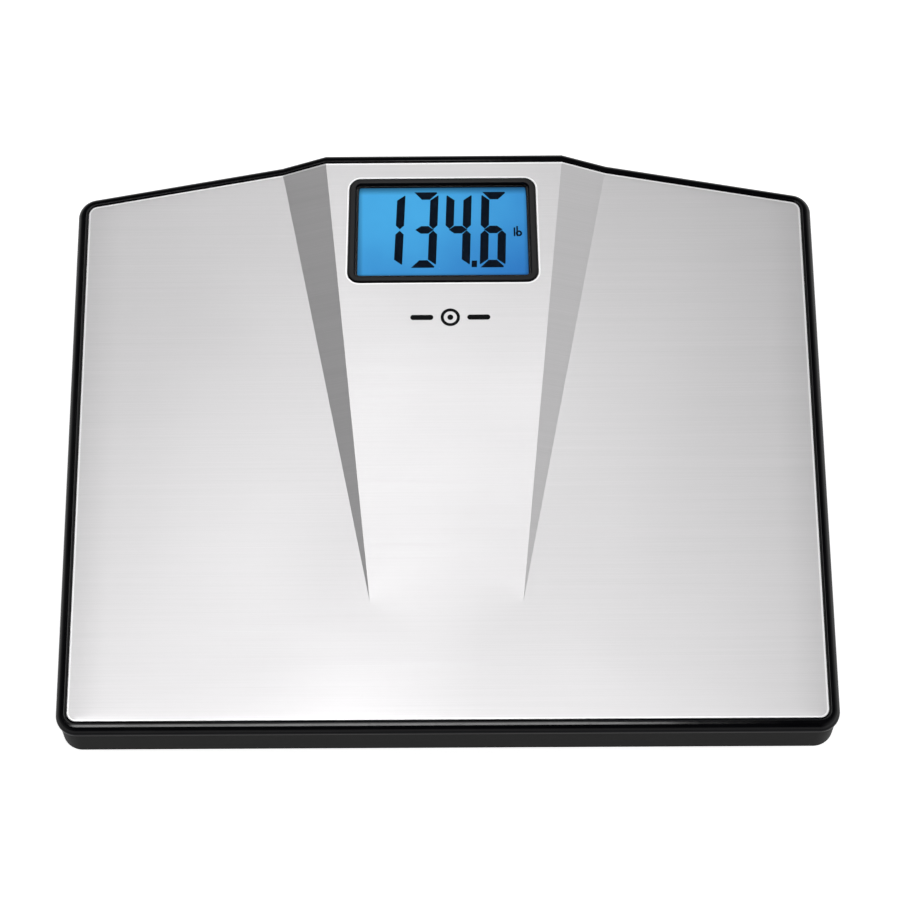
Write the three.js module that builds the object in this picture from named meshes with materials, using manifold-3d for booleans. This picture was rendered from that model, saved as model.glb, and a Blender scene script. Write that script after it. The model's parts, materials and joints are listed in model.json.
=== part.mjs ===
// Digital bathroom scale: a brushed steel platform with a raised display panel, bonded to a ribbed
// plastic frame, screwed to a base cover that holds four sprung load-cell feet and a battery bay.
// Millimetres, +Z up, +Y towards the display edge, origin on the floor under the middle of the scale.
import * as THREE from "three";
import { mergeVertices } from "three/addons/utils/BufferGeometryUtils.js";
import Module from "manifold-3d";

const wasm = await Module();
wasm.setup();

// ---- Driving dimensions ----
const PLATE_HALF_WIDTH = 194.5;
const PLATE_FRONT_Y = -160;
const PLATE_REAR_Y = 160; // straight middle stretch of the rear edge
const REAR_CORNER_Y = 139.3; // rear corners sit further forward, so the rear edge sweeps back
const CORNER_RADIUS = 5;
const PLATE_TOP = 34; // height of the flat side areas over the floor
const PLATE_THICKNESS = 0.8;

const FOLD_TIP = new THREE.Vector2(39.8, -95); // where each long triangular facet starts
const OUTER_FOLD_END = new THREE.Vector2(88.5, 159);
const INNER_FOLD_END = new THREE.Vector2(64.5, PLATE_REAR_Y);
const PANEL_RISE = 11; // how far the middle panel has risen at the rear edge

const RIM_WIDTH = 6; // plastic rim seen around the plate
const PLATE_GAP = 0.2; // between the plate's edge and the rim
const GLUE_GAP = 0.2; // adhesive film under the plate
const DECK_THICKNESS = 2.2;
const SHELL_WALL = 2.2;
const PARTING_Z = 28; // top edge of the base cover's wall
const BASE_BOTTOM = 4; // ground clearance of the base cover
const BASE_FLOOR_TOP = BASE_BOTTOM + 2.2;
const BASE_EDGE_FILLET = 1.2;
const BASE_INSET = 0.9; // the base cover's wall stands this far inside the rim
const BASE_CORNER_EXTRA = 4; // the base cover's corners are rounder than the plate's by this much

const RIB_THICKNESS = 1.8;
const RIB_BOTTOM = 24.2;
const RIB_LENGTHS = [384, 286]; // across the scale, and from front to rear
const WELL_BOTTOM = 33.5; // lower edge of the walls round the display carrier

const FOOT_X = 158;
const FOOT_FRONT_Y = -122;
const FOOT_REAR_Y = 98;
const FOOT_RADIUS = 20.5;
const FOOT_WELL_RADIUS = 22.5;
const PAD_RADIUS = 18;
const PAD_HEIGHT = 2;
const FOOT_STEM_RADIUS = 6;
const FOOT_TRAVEL = 0.5; // how far a full load pushes a foot up into the scale
const LOAD_CELL_BOTTOM = 15.3;
const LOAD_CELL_THICKNESS = 2.5;
const LOAD_CELL_SIZE = 34;
const BRACKET_SIZE = 46;
const BRACKET_TOP = 24;

const FIT_GAP = 0.3; // between pieces that would otherwise touch
const ABOVE_ALL = 60; // higher than any piece, where cuts and prisms may end

const DISPLAY_Y = 118.9; // middle of the display along the plan
const BEZEL_SIZE = [102.4, 62];
const BEZEL_OPENING = [95.2, 56];
const DISPLAY_WINDOW = [92.4, 53.2];
const BEZEL_SKIRT = [98.4, 58];
const BEZEL_CORNER = 6;

const BAY_Y = 30; // middle of the battery bay
const BAY_INNER = [56.4, 35.4];
const BAY_TOP = 18.6;
const BAY_WALL = 1.5;
const DOOR_SIZE = [62, 41, 2];
const DOOR_BOTTOM = BASE_BOTTOM + 0.1;
const BATTERY_RADIUS = 5.25;
const BATTERY_LENGTH = 44.5;
const BATTERY_PITCH = 11.3;
const BATTERY_AXIS_Z = 12.6;

const SWITCH_X = 92;
const SWITCH_Y = 62;
const SWITCH_TRAVEL = 4;

const SCREW_PLACES = [
  [70, -149],
  [186, -70],
  [186, 45],
  [76, 146],
].flatMap(([x, y]) => [
  [-x, y],
  [x, y],
]);
const SCREW_HEAD_Z = 11; // the heads sit this far up in their counterbores
const SCREW_HEAD_RADIUS = 3.2;
const SCREW_SHANK_RADIUS = 1.5;
const SCREW_HOLE_RADIUS = 1.9;
const SCREW_LENGTH = 16;
const BOSS_SPLIT_Z = 16; // where the base's posts meet the frame's bosses

// ---- Materials ----
const material = (color, roughness, metalness = 0) =>
  new THREE.MeshStandardMaterial({ color, roughness, metalness });
const MATERIALS = {
  brushedSteel: material(0xd2d2d6, 0.32, 1),
  glossBlack: material(0x0b0b0c, 0.15),
  matteBlack: material(0x1d1d1d, 0.55),
  clear: material(0xeef3f6, 0.05),
  lcd: material(0x1f7fc8, 0.25),
  backlight: material(0x4fb0f0, 0.5),
  whitePlastic: material(0xe4e4e0, 0.5),
  rubber: material(0x262626, 0.9),
  greyRubber: material(0x5c5c60, 0.9),
  springSteel: material(0xb8b8ba, 0.3, 1),
  cellSteel: material(0x9d9fa3, 0.35, 1),
  circuitBoard: material(0x14592f, 0.5),
  epoxy: material(0x0d0d0d, 0.4),
  batteryJacket: material(0x2f5f8a, 0.35, 0.2),
  redWire: material(0xb01818, 0.5),
  blackWire: material(0x161616, 0.5),
  greyWire: material(0xb9b9bd, 0.5),
};

// ---- Solids: manifold-3d joins and cuts what three.js shapes ----
function toSolid(geometry) {
  const bare = geometry.index ? geometry.toNonIndexed() : geometry.clone();
  for (const name of Object.keys(bare.attributes)) {
    if (name !== "position") bare.deleteAttribute(name);
  }
  const merged = mergeVertices(bare, 1e-4);
  return new wasm.Manifold(
    new wasm.Mesh({
      numProp: 3,
      vertProperties: merged.attributes.position.array,
      triVerts: new Uint32Array(merged.index.array),
    }),
  );
}

function toGeometry(solid) {
  const mesh = solid.getMesh();
  const geometry = new THREE.BufferGeometry();
  geometry.setAttribute("position", new THREE.BufferAttribute(mesh.vertProperties, 3));
  geometry.setIndex(new THREE.BufferAttribute(mesh.triVerts, 1));
  return geometry;
}

const joined = (solids) => solids.reduce((all, next) => all.add(next));
const cutBy = (solid, cutters) => cutters.reduce((left, cutter) => left.subtract(cutter), solid);

// A box given by its middle in plan, its size in plan, and its lowest and highest z.
function box([x, y], [width, depth], bottom, top) {
  const geometry = new THREE.BoxGeometry(width, depth, top - bottom);
  return toSolid(geometry.translate(x, y, (bottom + top) / 2));
}

function cylinder([x, y], radius, bottom, top, sides = 10) {
  const geometry = new THREE.CylinderGeometry(radius, radius, top - bottom, sides);
  return toSolid(geometry.rotateX(Math.PI / 2).translate(x, y, (bottom + top) / 2));
}

function roundedRectangle(width, height, radius) {
  const shape = new THREE.Shape();
  const w = width / 2 - radius;
  const h = height / 2 - radius;
  shape.absarc(w, h, radius, 0, Math.PI / 2);
  shape.absarc(-w, h, radius, Math.PI / 2, Math.PI);
  shape.absarc(-w, -h, radius, Math.PI, 1.5 * Math.PI);
  shape.absarc(w, -h, radius, 1.5 * Math.PI, 2 * Math.PI);
  return shape;
}

function prism(shape, bottom, top, curveSegments = 1) {
  const settings = { depth: top - bottom, bevelEnabled: false, curveSegments };
  return toSolid(new THREE.ExtrudeGeometry(shape, settings).translate(0, 0, bottom));
}

function roundedBox([x, y], [width, depth], radius, bottom, top) {
  return prism(roundedRectangle(width, depth, radius), bottom, top).translate([x, y, 0]);
}

// A turned solid about a vertical axis: the profile lists [radius, z] from the axis and back to it.
function turned(profile, sides = 16) {
  const points = profile.map(([radius, z]) => new THREE.Vector2(radius, z));
  return toSolid(new THREE.LatheGeometry(points, sides).rotateX(Math.PI / 2));
}

// ---- The platform's outline in plan ----
const HALF_OUTLINE = [
  { x: PLATE_HALF_WIDTH, y: PLATE_FRONT_Y, radius: CORNER_RADIUS },
  { x: PLATE_HALF_WIDTH, y: REAR_CORNER_Y, radius: CORNER_RADIUS },
  { x: OUTER_FOLD_END.x, y: OUTER_FOLD_END.y, radius: 0 },
  { x: INNER_FOLD_END.x, y: INNER_FOLD_END.y, radius: 0 },
];
const OUTLINE_CORNERS = [
  ...HALF_OUTLINE,
  ...[...HALF_OUTLINE].reverse().map((corner) => ({ ...corner, x: -corner.x })),
];
const CORNER_STEPS = 4;

// The outline moved outwards by offset, with its round corners enlarged by extraRadius. It runs
// anticlockwise, always with the same number of points.
function outline(offset, extraRadius = 0) {
  const count = OUTLINE_CORNERS.length;
  const place = (i) => {
    const corner = OUTLINE_CORNERS[(i + count) % count];
    return new THREE.Vector2(corner.x, corner.y);
  };
  const outwardNormal = (from, to) => {
    const along = to.clone().sub(from).normalize();
    return new THREE.Vector2(along.y, -along.x);
  };
  return OUTLINE_CORNERS.flatMap(({ radius }, i) => {
    const before = outwardNormal(place(i - 1), place(i));
    const after = outwardNormal(place(i), place(i + 1));
    const mitre = before.clone().add(after).divideScalar(1 + before.dot(after));
    if (radius === 0) return [place(i).addScaledVector(mitre, offset)];
    const fullRadius = radius + extraRadius;
    const centre = place(i).addScaledVector(mitre, -fullRadius);
    const startAngle = before.angle();
    const sweep = (after.angle() - startAngle + 2 * Math.PI) % (2 * Math.PI);
    return Array.from({ length: CORNER_STEPS + 1 }, (_, step) => {
      const angle = startAngle + (sweep * step) / CORNER_STEPS;
      const reach = fullRadius + offset;
      return new THREE.Vector2(Math.cos(angle), Math.sin(angle)).multiplyScalar(reach).add(centre);
    });
  });
}

// ---- The platform's height: flat sides, a rising middle panel, and a facet between them ----
const RISE_SLOPE = PANEL_RISE / (PLATE_REAR_Y - FOLD_TIP.y);
const PANEL_TILT = Math.atan(RISE_SLOPE);
const panelRise = (y) => RISE_SLOPE * Math.max(0, y - FOLD_TIP.y);

function foldX(end, y) {
  const share = Math.max(0, (y - FOLD_TIP.y) / (end.y - FOLD_TIP.y));
  return FOLD_TIP.x + (end.x - FOLD_TIP.x) * share;
}

function plateTop(x, y) {
  const inner = foldX(INNER_FOLD_END, y);
  const outer = foldX(OUTER_FOLD_END, y);
  const share = THREE.MathUtils.clamp((outer - Math.abs(x)) / (outer - inner || 1), 0, 1);
  return PLATE_TOP + panelRise(y) * share;
}

const REACH = 230; // past the outline on every side
const TERRAIN_ROWS = [-REACH, FOLD_TIP.y, PLATE_REAR_Y, REACH];

// Everything between the platform's top surface lowered by topDrop, and either the same surface
// lowered by bottomDrop or the level floorZ.
function underPlatform(topDrop, bottomDrop, floorZ) {
  const columns = (y) => {
    const inner = foldX(INNER_FOLD_END, y);
    const outer = foldX(OUTER_FOLD_END, y) + 1e-3;
    return [-REACH, -outer, -inner, inner, outer, REACH];
  };
  const topRows = TERRAIN_ROWS.map((y) =>
    columns(y).map((x) => [x, y, plateTop(x, y) - topDrop]),
  );
  const bottomRows = topRows.map((row) =>
    row.map(([x, y, z]) => [x, y, floorZ ?? z + topDrop - bottomDrop]),
  );
  const positions = [];
  const quad = (a, b, c, d) => positions.push(...a, ...b, ...c, ...a, ...c, ...d);
  const lastRow = TERRAIN_ROWS.length - 1;
  const lastColumn = columns(0).length - 1;
  for (let r = 0; r < lastRow; r++) {
    for (let c = 0; c < lastColumn; c++) {
      quad(topRows[r][c], topRows[r][c + 1], topRows[r + 1][c + 1], topRows[r + 1][c]);
      quad(bottomRows[r][c], bottomRows[r + 1][c], bottomRows[r + 1][c + 1], bottomRows[r][c + 1]);
    }
    quad(bottomRows[r][0], topRows[r][0], topRows[r + 1][0], bottomRows[r + 1][0]);
    const [low, high] = [bottomRows, topRows].map((rows) => rows.map((row) => row[lastColumn]));
    quad(low[r], low[r + 1], high[r + 1], high[r]);
  }
  for (let c = 0; c < lastColumn; c++) {
    quad(bottomRows[0][c], bottomRows[0][c + 1], topRows[0][c + 1], topRows[0][c]);
    const [low, high] = [bottomRows[lastRow], topRows[lastRow]];
    quad(low[c], high[c], high[c + 1], low[c + 1]);
  }
  const geometry = new THREE.BufferGeometry();
  geometry.setAttribute("position", new THREE.Float32BufferAttribute(positions, 3));
  return toSolid(geometry);
}

const outlinePrism = (offset, bottom, top, extraRadius = 0) =>
  prism(new THREE.Shape(outline(offset, extraRadius)), bottom, top);

// A solid skinned over level sections of the outline, each given as [offset, z], lowest first.
function stackedOutline(levels, extraRadius) {
  const sections = levels.map(([offset]) => outline(offset, extraRadius));
  const rings = levels.map(([, z], level) => sections[level].map(({ x, y }) => [x, y, z]));
  const positions = [];
  const count = rings[0].length;
  const triangle = (a, b, c) => positions.push(...a, ...b, ...c);
  for (let level = 0; level + 1 < rings.length; level++) {
    for (let i = 0; i < count; i++) {
      const [low, high] = [rings[level], rings[level + 1]];
      const next = (i + 1) % count;
      triangle(low[i], low[next], high[next]);
      triangle(low[i], high[next], high[i]);
    }
  }
  const [bottom, top] = [rings[0], rings[rings.length - 1]];
  for (const [a, b, c] of THREE.ShapeUtils.triangulateShape(sections[0], [])) {
    triangle(bottom[a], bottom[c], bottom[b]);
    triangle(top[a], top[b], top[c]);
  }
  const geometry = new THREE.BufferGeometry();
  geometry.setAttribute("position", new THREE.Float32BufferAttribute(positions, 3));
  return toSolid(geometry);
}

// A ring swept round the outline. Each profile point is [offset, height], where height turns the
// platform's height at the edge into the point's own.
function outlineRing(profile) {
  const edge = outline(0);
  const loops = profile.map(([offset, height]) =>
    outline(offset).map(({ x, y }, i) => [x, y, height(plateTop(edge[i].x, edge[i].y))]),
  );
  const positions = [];
  loops.forEach((loop, j) => {
    const nextLoop = loops[(j + 1) % loops.length];
    loop.forEach((a, i) => {
      const next = (i + 1) % loop.length;
      positions.push(...a, ...nextLoop[next], ...loop[next], ...a, ...nextLoop[i], ...nextLoop[next]);
    });
  });
  const geometry = new THREE.BufferGeometry();
  geometry.setAttribute("position", new THREE.Float32BufferAttribute(positions, 3));
  return toSolid(geometry);
}

// ---- The assembly ----
const scale = new THREE.Group();

function addPart(name, solid, look, parent = scale) {
  const mesh = new THREE.Mesh(toGeometry(solid), look);
  mesh.name = name;
  parent.add(mesh);
  return mesh;
}

function platformPlate() {
  const sheet = underPlatform(0, PLATE_THICKNESS).intersect(outlinePrism(0, 0, ABOVE_ALL));
  const cutout = [BEZEL_SKIRT[0] + 0.8, BEZEL_SKIRT[1] + 0.8];
  return sheet.subtract(roundedBox([0, DISPLAY_Y], cutout, BEZEL_CORNER - 1, 0, ABOVE_ALL));
}

// Rim profile: a narrow flat beside the plate, a rounded shoulder, then a straight skirt.
function rimRing() {
  const below = (drop) => (top) => top - drop;
  const level = (z) => () => z;
  const deckUnderside = PLATE_THICKNESS + GLUE_GAP + DECK_THICKNESS;
  const shoulder = [
    [2.4, 0.35],
    [4, 1.1],
    [5.3, 2.5],
    [RIM_WIDTH, 4.4],
  ];
  return outlineRing([
    [PLATE_GAP, below(PLATE_THICKNESS + GLUE_GAP)],
    [PLATE_GAP, below(0.15)],
    [1.5, below(0.15)],
    ...shoulder.map(([offset, drop]) => [offset, below(drop)]),
    [RIM_WIDTH, level(PARTING_Z + 0.2)],
    [RIM_WIDTH - SHELL_WALL, level(PARTING_Z + 0.2)],
    [RIM_WIDTH - SHELL_WALL, below(deckUnderside)],
    [-2, below(deckUnderside)],
    [-2, below(PLATE_THICKNESS + GLUE_GAP)],
  ]);
}

function frameRibs() {
  const acrossY = [FOOT_FRONT_Y, -75, -30, 15, 60];
  const alongX = [110, FOOT_X];
  const ribs = [
    ...acrossY.map((y) => box([0, y], [RIB_LENGTHS[0], RIB_THICKNESS], RIB_BOTTOM, ABOVE_ALL)),
    ...alongX.flatMap((x) =>
      [-x, x].map((side) => box([side, -10], [RIB_THICKNESS, RIB_LENGTHS[1]], RIB_BOTTOM, ABOVE_ALL)),
    ),
    ...[-1, 1].map((side) =>
      box([side * 128, FOOT_REAR_Y], [116, RIB_THICKNESS], RIB_BOTTOM, ABOVE_ALL),
    ),
  ];
  return joined(ribs);
}

// Walls that locate the display carrier from the sides.
function displayWell() {
  const outer = roundedBox([0, DISPLAY_Y], [108, 69], 2, WELL_BOTTOM, ABOVE_ALL);
  return outer.subtract(roundedBox([0, DISPLAY_Y], [104.6, 65.6], 1.5, 0, ABOVE_ALL));
}

function platformFrame() {
  const deckTop = PLATE_THICKNESS + GLUE_GAP;
  const deck = underPlatform(deckTop, deckTop + DECK_THICKNESS).intersect(outlinePrism(-1, 0, ABOVE_ALL));
  const bosses = SCREW_PLACES.map((place) => cylinder(place, 3.9, BOSS_SPLIT_Z + FIT_GAP, ABOVE_ALL));
  const hanging = joined([frameRibs(), displayWell(), ...bosses]);
  const underDeck = underPlatform(deckTop + 1, 0, 0).intersect(outlinePrism(2, 0, ABOVE_ALL));
  const pilots = SCREW_PLACES.map((place) => cylinder(place, SCREW_HOLE_RADIUS, 0, PARTING_Z + 1, 8));
  const opening = [BEZEL_SKIRT[0] + 1, BEZEL_SKIRT[1] + 1];
  const whole = joined([rimRing(), deck, hanging.intersect(underDeck)]);
  return cutBy(whole, [roundedBox([0, DISPLAY_Y], opening, BEZEL_CORNER - 1, 0, ABOVE_ALL), ...pilots]);
}

const FOOT_PLACES = [
  { corner: "front_left", x: -FOOT_X, y: FOOT_FRONT_Y },
  { corner: "front_right", x: FOOT_X, y: FOOT_FRONT_Y },
  { corner: "rear_left", x: -FOOT_X, y: FOOT_REAR_Y },
  { corner: "rear_right", x: FOOT_X, y: FOOT_REAR_Y },
];

const HINGE_Y = BAY_Y + DOOR_SIZE[1] / 2 - DOOR_SIZE[2] / 2;
const HINGE_Z = DOOR_BOTTOM + DOOR_SIZE[2] / 2;
const HINGE_PIN_RADIUS = 0.8;

// A cylinder lying along X between two x values.
function crossPin(fromX, toX, y, z, radius, sides = 12) {
  const geometry = new THREE.CylinderGeometry(radius, radius, toX - fromX, sides);
  return toSolid(geometry.rotateZ(Math.PI / 2).translate((fromX + toX) / 2, y, z));
}

function batteryBayBlock() {
  const surround = roundedBox([0, BAY_Y], [DOOR_SIZE[0] + 9, DOOR_SIZE[1] + 7], 3, BASE_BOTTOM, 8.4);
  const boxSize = BAY_INNER.map((side) => side + 2 * BAY_WALL);
  return surround.add(box([0, BAY_Y], boxSize, BASE_BOTTOM, BAY_TOP + BAY_WALL));
}

function batteryBayHollow() {
  const recess = [DOOR_SIZE[0] + 0.6, DOOR_SIZE[1] + 0.6];
  const pinHole = DOOR_SIZE[0] / 2 + 2.2;
  const thumbScoop = box([0, BAY_Y - DOOR_SIZE[1] / 2 - 1], [18, 6], 0, BASE_BOTTOM + 1.2);
  return joined([
    roundedBox([0, BAY_Y], recess, 1, 0, DOOR_BOTTOM + DOOR_SIZE[2] + 0.2),
    box([0, BAY_Y], BAY_INNER, 0, BAY_TOP),
    crossPin(-pinHole, pinHole, HINGE_Y, HINGE_Z, HINGE_PIN_RADIUS + 0.25),
    thumbScoop,
  ]);
}

function baseCover() {
  const top = RIM_WIDTH - BASE_INSET;
  const foot = top - 0.3;
  const fillet = [0, 45, 90].map((degrees) => {
    const angle = THREE.MathUtils.degToRad(degrees);
    const inwards = BASE_EDGE_FILLET * (1 - Math.sin(angle));
    return [foot - inwards, BASE_BOTTOM + BASE_EDGE_FILLET * (1 - Math.cos(angle))];
  });
  const outer = stackedOutline([...fillet, [top, PARTING_Z]], BASE_CORNER_EXTRA);
  const hollow = outlinePrism(top - SHELL_WALL, BASE_FLOOR_TOP, ABOVE_ALL, BASE_CORNER_EXTRA);
  const lipOuter = RIM_WIDTH - SHELL_WALL - FIT_GAP;
  const lip = outlinePrism(lipOuter, 20, PARTING_Z + 1.6, BASE_CORNER_EXTRA).subtract(
    outlinePrism(lipOuter - 1.2, 0, ABOVE_ALL, BASE_CORNER_EXTRA),
  );
  const posts = SCREW_PLACES.map((place) => cylinder(place, 5, BASE_BOTTOM, BOSS_SPLIT_Z));
  const collars = FOOT_PLACES.map(({ x, y }) =>
    cylinder([x, y], FOOT_WELL_RADIUS + 1.8, BASE_BOTTOM, 12, 20),
  );
  const shell = joined([outer.subtract(hollow), lip, ...posts, ...collars, batteryBayBlock()]);
  const counterbores = SCREW_PLACES.flatMap((place) => [
    cylinder(place, SCREW_HEAD_RADIUS + 0.4, 0, SCREW_HEAD_Z + 2),
    cylinder(place, SCREW_HOLE_RADIUS, 0, ABOVE_ALL, 8),
  ]);
  const footWells = FOOT_PLACES.map(({ x, y }) => cylinder([x, y], FOOT_WELL_RADIUS, 0, ABOVE_ALL, 20));
  const switchDish = roundedBox([SWITCH_X, SWITCH_Y], [20, 11], 3, 0, BASE_BOTTOM + 0.9);
  const switchSlot = box([SWITCH_X, SWITCH_Y], [SWITCH_TRAVEL + 4.6, 4.2], 0, 10);
  return cutBy(shell, [
    ...counterbores,
    ...footWells,
    batteryBayHollow(),
    switchDish,
    switchSlot,
  ]);
}

// ---- Feet and load cells ----
function footCup() {
  const seat = PAD_HEIGHT - 0.8;
  const stemTop = LOAD_CELL_BOTTOM - FOOT_TRAVEL - 0.1;
  return turned([
    [0, PAD_HEIGHT],
    [PAD_RADIUS + 0.3, PAD_HEIGHT],
    [PAD_RADIUS + 0.3, seat],
    [FOOT_RADIUS - 0.6, seat],
    [FOOT_RADIUS, seat + 0.6],
    [FOOT_RADIUS, 6.4],
    [FOOT_RADIUS - 1.2, 7.2],
    [FOOT_STEM_RADIUS + 3, 7.2],
    [FOOT_STEM_RADIUS, 9.5],
    [FOOT_STEM_RADIUS, stemTop],
    [0, stemTop],
  ]);
}

function footPad() {
  return turned([
    [0, 0],
    [PAD_RADIUS - 0.8, 0],
    [PAD_RADIUS, 0.6],
    [PAD_RADIUS, PAD_HEIGHT - 0.05],
    [0, PAD_HEIGHT - 0.05],
  ]);
}

// A square of spring steel with a U-shaped slot, so that its middle tongue bends.
function loadCell() {
  const shape = roundedRectangle(LOAD_CELL_SIZE, LOAD_CELL_SIZE, 3);
  const slot = { outer: 11, inner: 7.5, back: 12 };
  const path = new THREE.Path([
    new THREE.Vector2(slot.outer, slot.back),
    new THREE.Vector2(slot.inner, slot.back),
    new THREE.Vector2(slot.inner, -slot.inner),
    new THREE.Vector2(-slot.inner, -slot.inner),
    new THREE.Vector2(-slot.inner, slot.back),
    new THREE.Vector2(-slot.outer, slot.back),
    new THREE.Vector2(-slot.outer, -slot.outer),
    new THREE.Vector2(slot.outer, -slot.outer),
  ]);
  shape.holes.push(path);
  return prism(shape, LOAD_CELL_BOTTOM, LOAD_CELL_BOTTOM + LOAD_CELL_THICKNESS);
}

// The bracket grips the cell's outer frame and leaves room over the tongue and for its lead.
function loadCellBracket() {
  const cellTop = LOAD_CELL_BOTTOM + LOAD_CELL_THICKNESS;
  const body = roundedBox([0, 0], [BRACKET_SIZE, BRACKET_SIZE], 4, LOAD_CELL_BOTTOM, BRACKET_TOP);
  return cutBy(body, [
    roundedBox([0, 0], [LOAD_CELL_SIZE + 0.6, LOAD_CELL_SIZE + 0.6], 3, 0, cellTop + 0.05),
    roundedBox([0, 0], [26, 28], 2, 0, cellTop + 3.5),
    box([0, BRACKET_SIZE / 2], [7, 16], 0, cellTop + 1.2),
  ]);
}

function addFeet() {
  for (const { corner, x, y } of FOOT_PLACES) {
    const place = new THREE.Group();
    place.position.set(x, y, 0);
    scale.add(place);
    addPart(`foot_cup_${corner}`, footCup(), MATERIALS.matteBlack, place);
    addPart(`foot_pad_${corner}`, footPad(), MATERIALS.rubber, place);
    const facingCentre = new THREE.Group();
    facingCentre.rotation.z = x < 0 ? -Math.PI / 2 : Math.PI / 2;
    place.add(facingCentre);
    addPart(`load_cell_${corner}`, loadCell(), MATERIALS.cellSteel, facingCentre);
    addPart(`load_cell_bracket_${corner}`, loadCellBracket(), MATERIALS.whitePlastic, facingCentre);
  }
}

// ---- Wiring ----
// A lead: a round wire along a smooth curve through the points.
function lead(points, radius, steps) {
  const path = new THREE.CatmullRomCurve3(points.map((p) => new THREE.Vector3(...p)));
  const section = new THREE.Shape();
  section.absarc(0, 0, radius, 0, 2 * Math.PI);
  const settings = { steps, extrudePath: path, bevelEnabled: false, curveSegments: 3 };
  return toSolid(new THREE.ExtrudeGeometry(section, settings));
}

const LEAD_Z = 22.4; // between the battery bay and the frame's ribs
const PANEL_BOARD_Z = 27.2; // just under the main board's front edge

function addSensorLeads() {
  const startX = FOOT_X - LOAD_CELL_SIZE / 2 - 0.4;
  for (const { corner, x, y } of FOOT_PLACES) {
    const side = Math.sign(x);
    const slot = y < 0 ? 24 : 38; // where the lead reaches the board
    const approach = y < 0 ? 12 : 24; // how far outside its slot it comes in
    const points = [
      [side * startX, y, LOAD_CELL_BOTTOM + 1.3],
      [side * (startX - 10), y + 2, LOAD_CELL_BOTTOM + 2.5],
      [side * (startX - 22), y + 12, LEAD_Z],
      ...(y < 0 ? [[side * 100, -60, LEAD_Z], [side * 80, 20, LEAD_Z]] : []),
      [side * (slot + approach), 78, LEAD_Z],
      [side * (slot + 4), 90, 24.5],
      [side * slot, 97, PANEL_BOARD_Z],
    ];
    addPart(`sensor_lead_${corner}`, lead(points, 1.1, y < 0 ? 22 : 13), MATERIALS.greyWire);
  }
}

function addBatteryLeads() {
  const wires = [
    { name: "battery_lead_positive", side: 1, look: MATERIALS.redWire },
    { name: "battery_lead_negative", side: -1, look: MATERIALS.blackWire },
  ];
  for (const { name, side, look } of wires) {
    const points = [
      [side * 12, BAY_Y + 21, 15],
      [side * 12, BAY_Y + 27, 18],
      [side * 11, BAY_Y + 45, LEAD_Z],
      [side * 10, 92, 25],
      [side * 10, 98, PANEL_BOARD_Z],
    ];
    addPart(name, lead(points, 0.8, 14), look);
  }
}

function addSwitchLead() {
  const points = [
    [SWITCH_X, SWITCH_Y, 13],
    [SWITCH_X, SWITCH_Y, 15.5],
    [SWITCH_X - 8, SWITCH_Y + 4, 19],
    [66, 70, LEAD_Z],
    [48, 80, LEAD_Z + 0.6],
    [35, 90, 24.5],
    [31, 97, PANEL_BOARD_Z],
  ];
  addPart("unit_switch_lead", lead(points, 1, 10), MATERIALS.blackWire);
}

// ---- Display stack, in a group whose z = 0 is the tilted middle panel ----
const STACK = {
  flange: [0.1, 1],
  lens: [-0.85, 0.15],
  skirtBottom: -4,
  lcd: [-6.4, -4.2],
  lcdFaceTop: -1.15,
  backlight: [-9.6, -6.6],
  carrier: [-11, -4.3],
  board: [-13.8, -12.2],
};

function displayBezel() {
  const [flangeBottom, flangeTop] = STACK.flange;
  const flange = roundedBox([0, 0], BEZEL_SIZE, BEZEL_CORNER, flangeBottom, flangeTop);
  const skirt = roundedBox([0, 0], BEZEL_SKIRT, BEZEL_CORNER - 1.5, STACK.skirtBottom, flangeTop);
  return cutBy(flange.add(skirt), [
    roundedBox([0, 0], BEZEL_OPENING, 2.5, STACK.lens[0] - 0.05, 9),
    roundedBox([0, 0], DISPLAY_WINDOW, 1.2, -9, 9),
  ]);
}

function displayLens() {
  const size = BEZEL_OPENING.map((side) => side - 0.4);
  return roundedBox([0, 0], size, 2.3, ...STACK.lens);
}

const PANEL_SCREW_PLACES = [-1, 1].flatMap((x) => [-1, 1].map((y) => [x * 41, y * 21.5]));
const ZEBRA_Y = -28.1;

// The glass has a raised viewing face that stands in the bezel's window, just under the lens.
function lcdPanel() {
  const [bottom, top] = STACK.lcd;
  const faceSize = DISPLAY_WINDOW.map((side) => side - 2 * FIT_GAP);
  const face = roundedBox([0, 0], faceSize, 1, top - 1, STACK.lcdFaceTop);
  return box([0, 0], [97.6, 58.6], bottom, top).add(face);
}

function displayCarrier() {
  const [bottom, top] = STACK.carrier;
  const tray = roundedBox([0, 0], [101.6, 62.6], 1.5, bottom, top);
  const bosses = PANEL_SCREW_PLACES.map((place) => cylinder(place, 2.6, STACK.board[1], bottom, 12));
  const pilots = PANEL_SCREW_PLACES.map((place) => cylinder(place, 1.1, -20, bottom + 0.6, 8));
  return cutBy(joined([tray, ...bosses]), [
    box([0, 0], [98.4, 59.4], STACK.backlight[0] - 0.1, 0),
    box([0, ZEBRA_Y], [72, 2.8], -20, 0),
    ...pilots,
  ]);
}

function mainBoard() {
  const holes = PANEL_SCREW_PLACES.map((place) => cylinder(place, 1.3, -20, 0, 10));
  return cutBy(box([0, -1.5], [92, 57], ...STACK.board), holes);
}

function panelScrew(z) {
  return turned(
    [
      [0, z - 1.4],
      [2.1, z - 1.4],
      [2.1, z - 0.05],
      [0.9, z - 0.05],
      [0.9, z + 3],
      [0, z + 3],
    ],
    6,
  );
}

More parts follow.
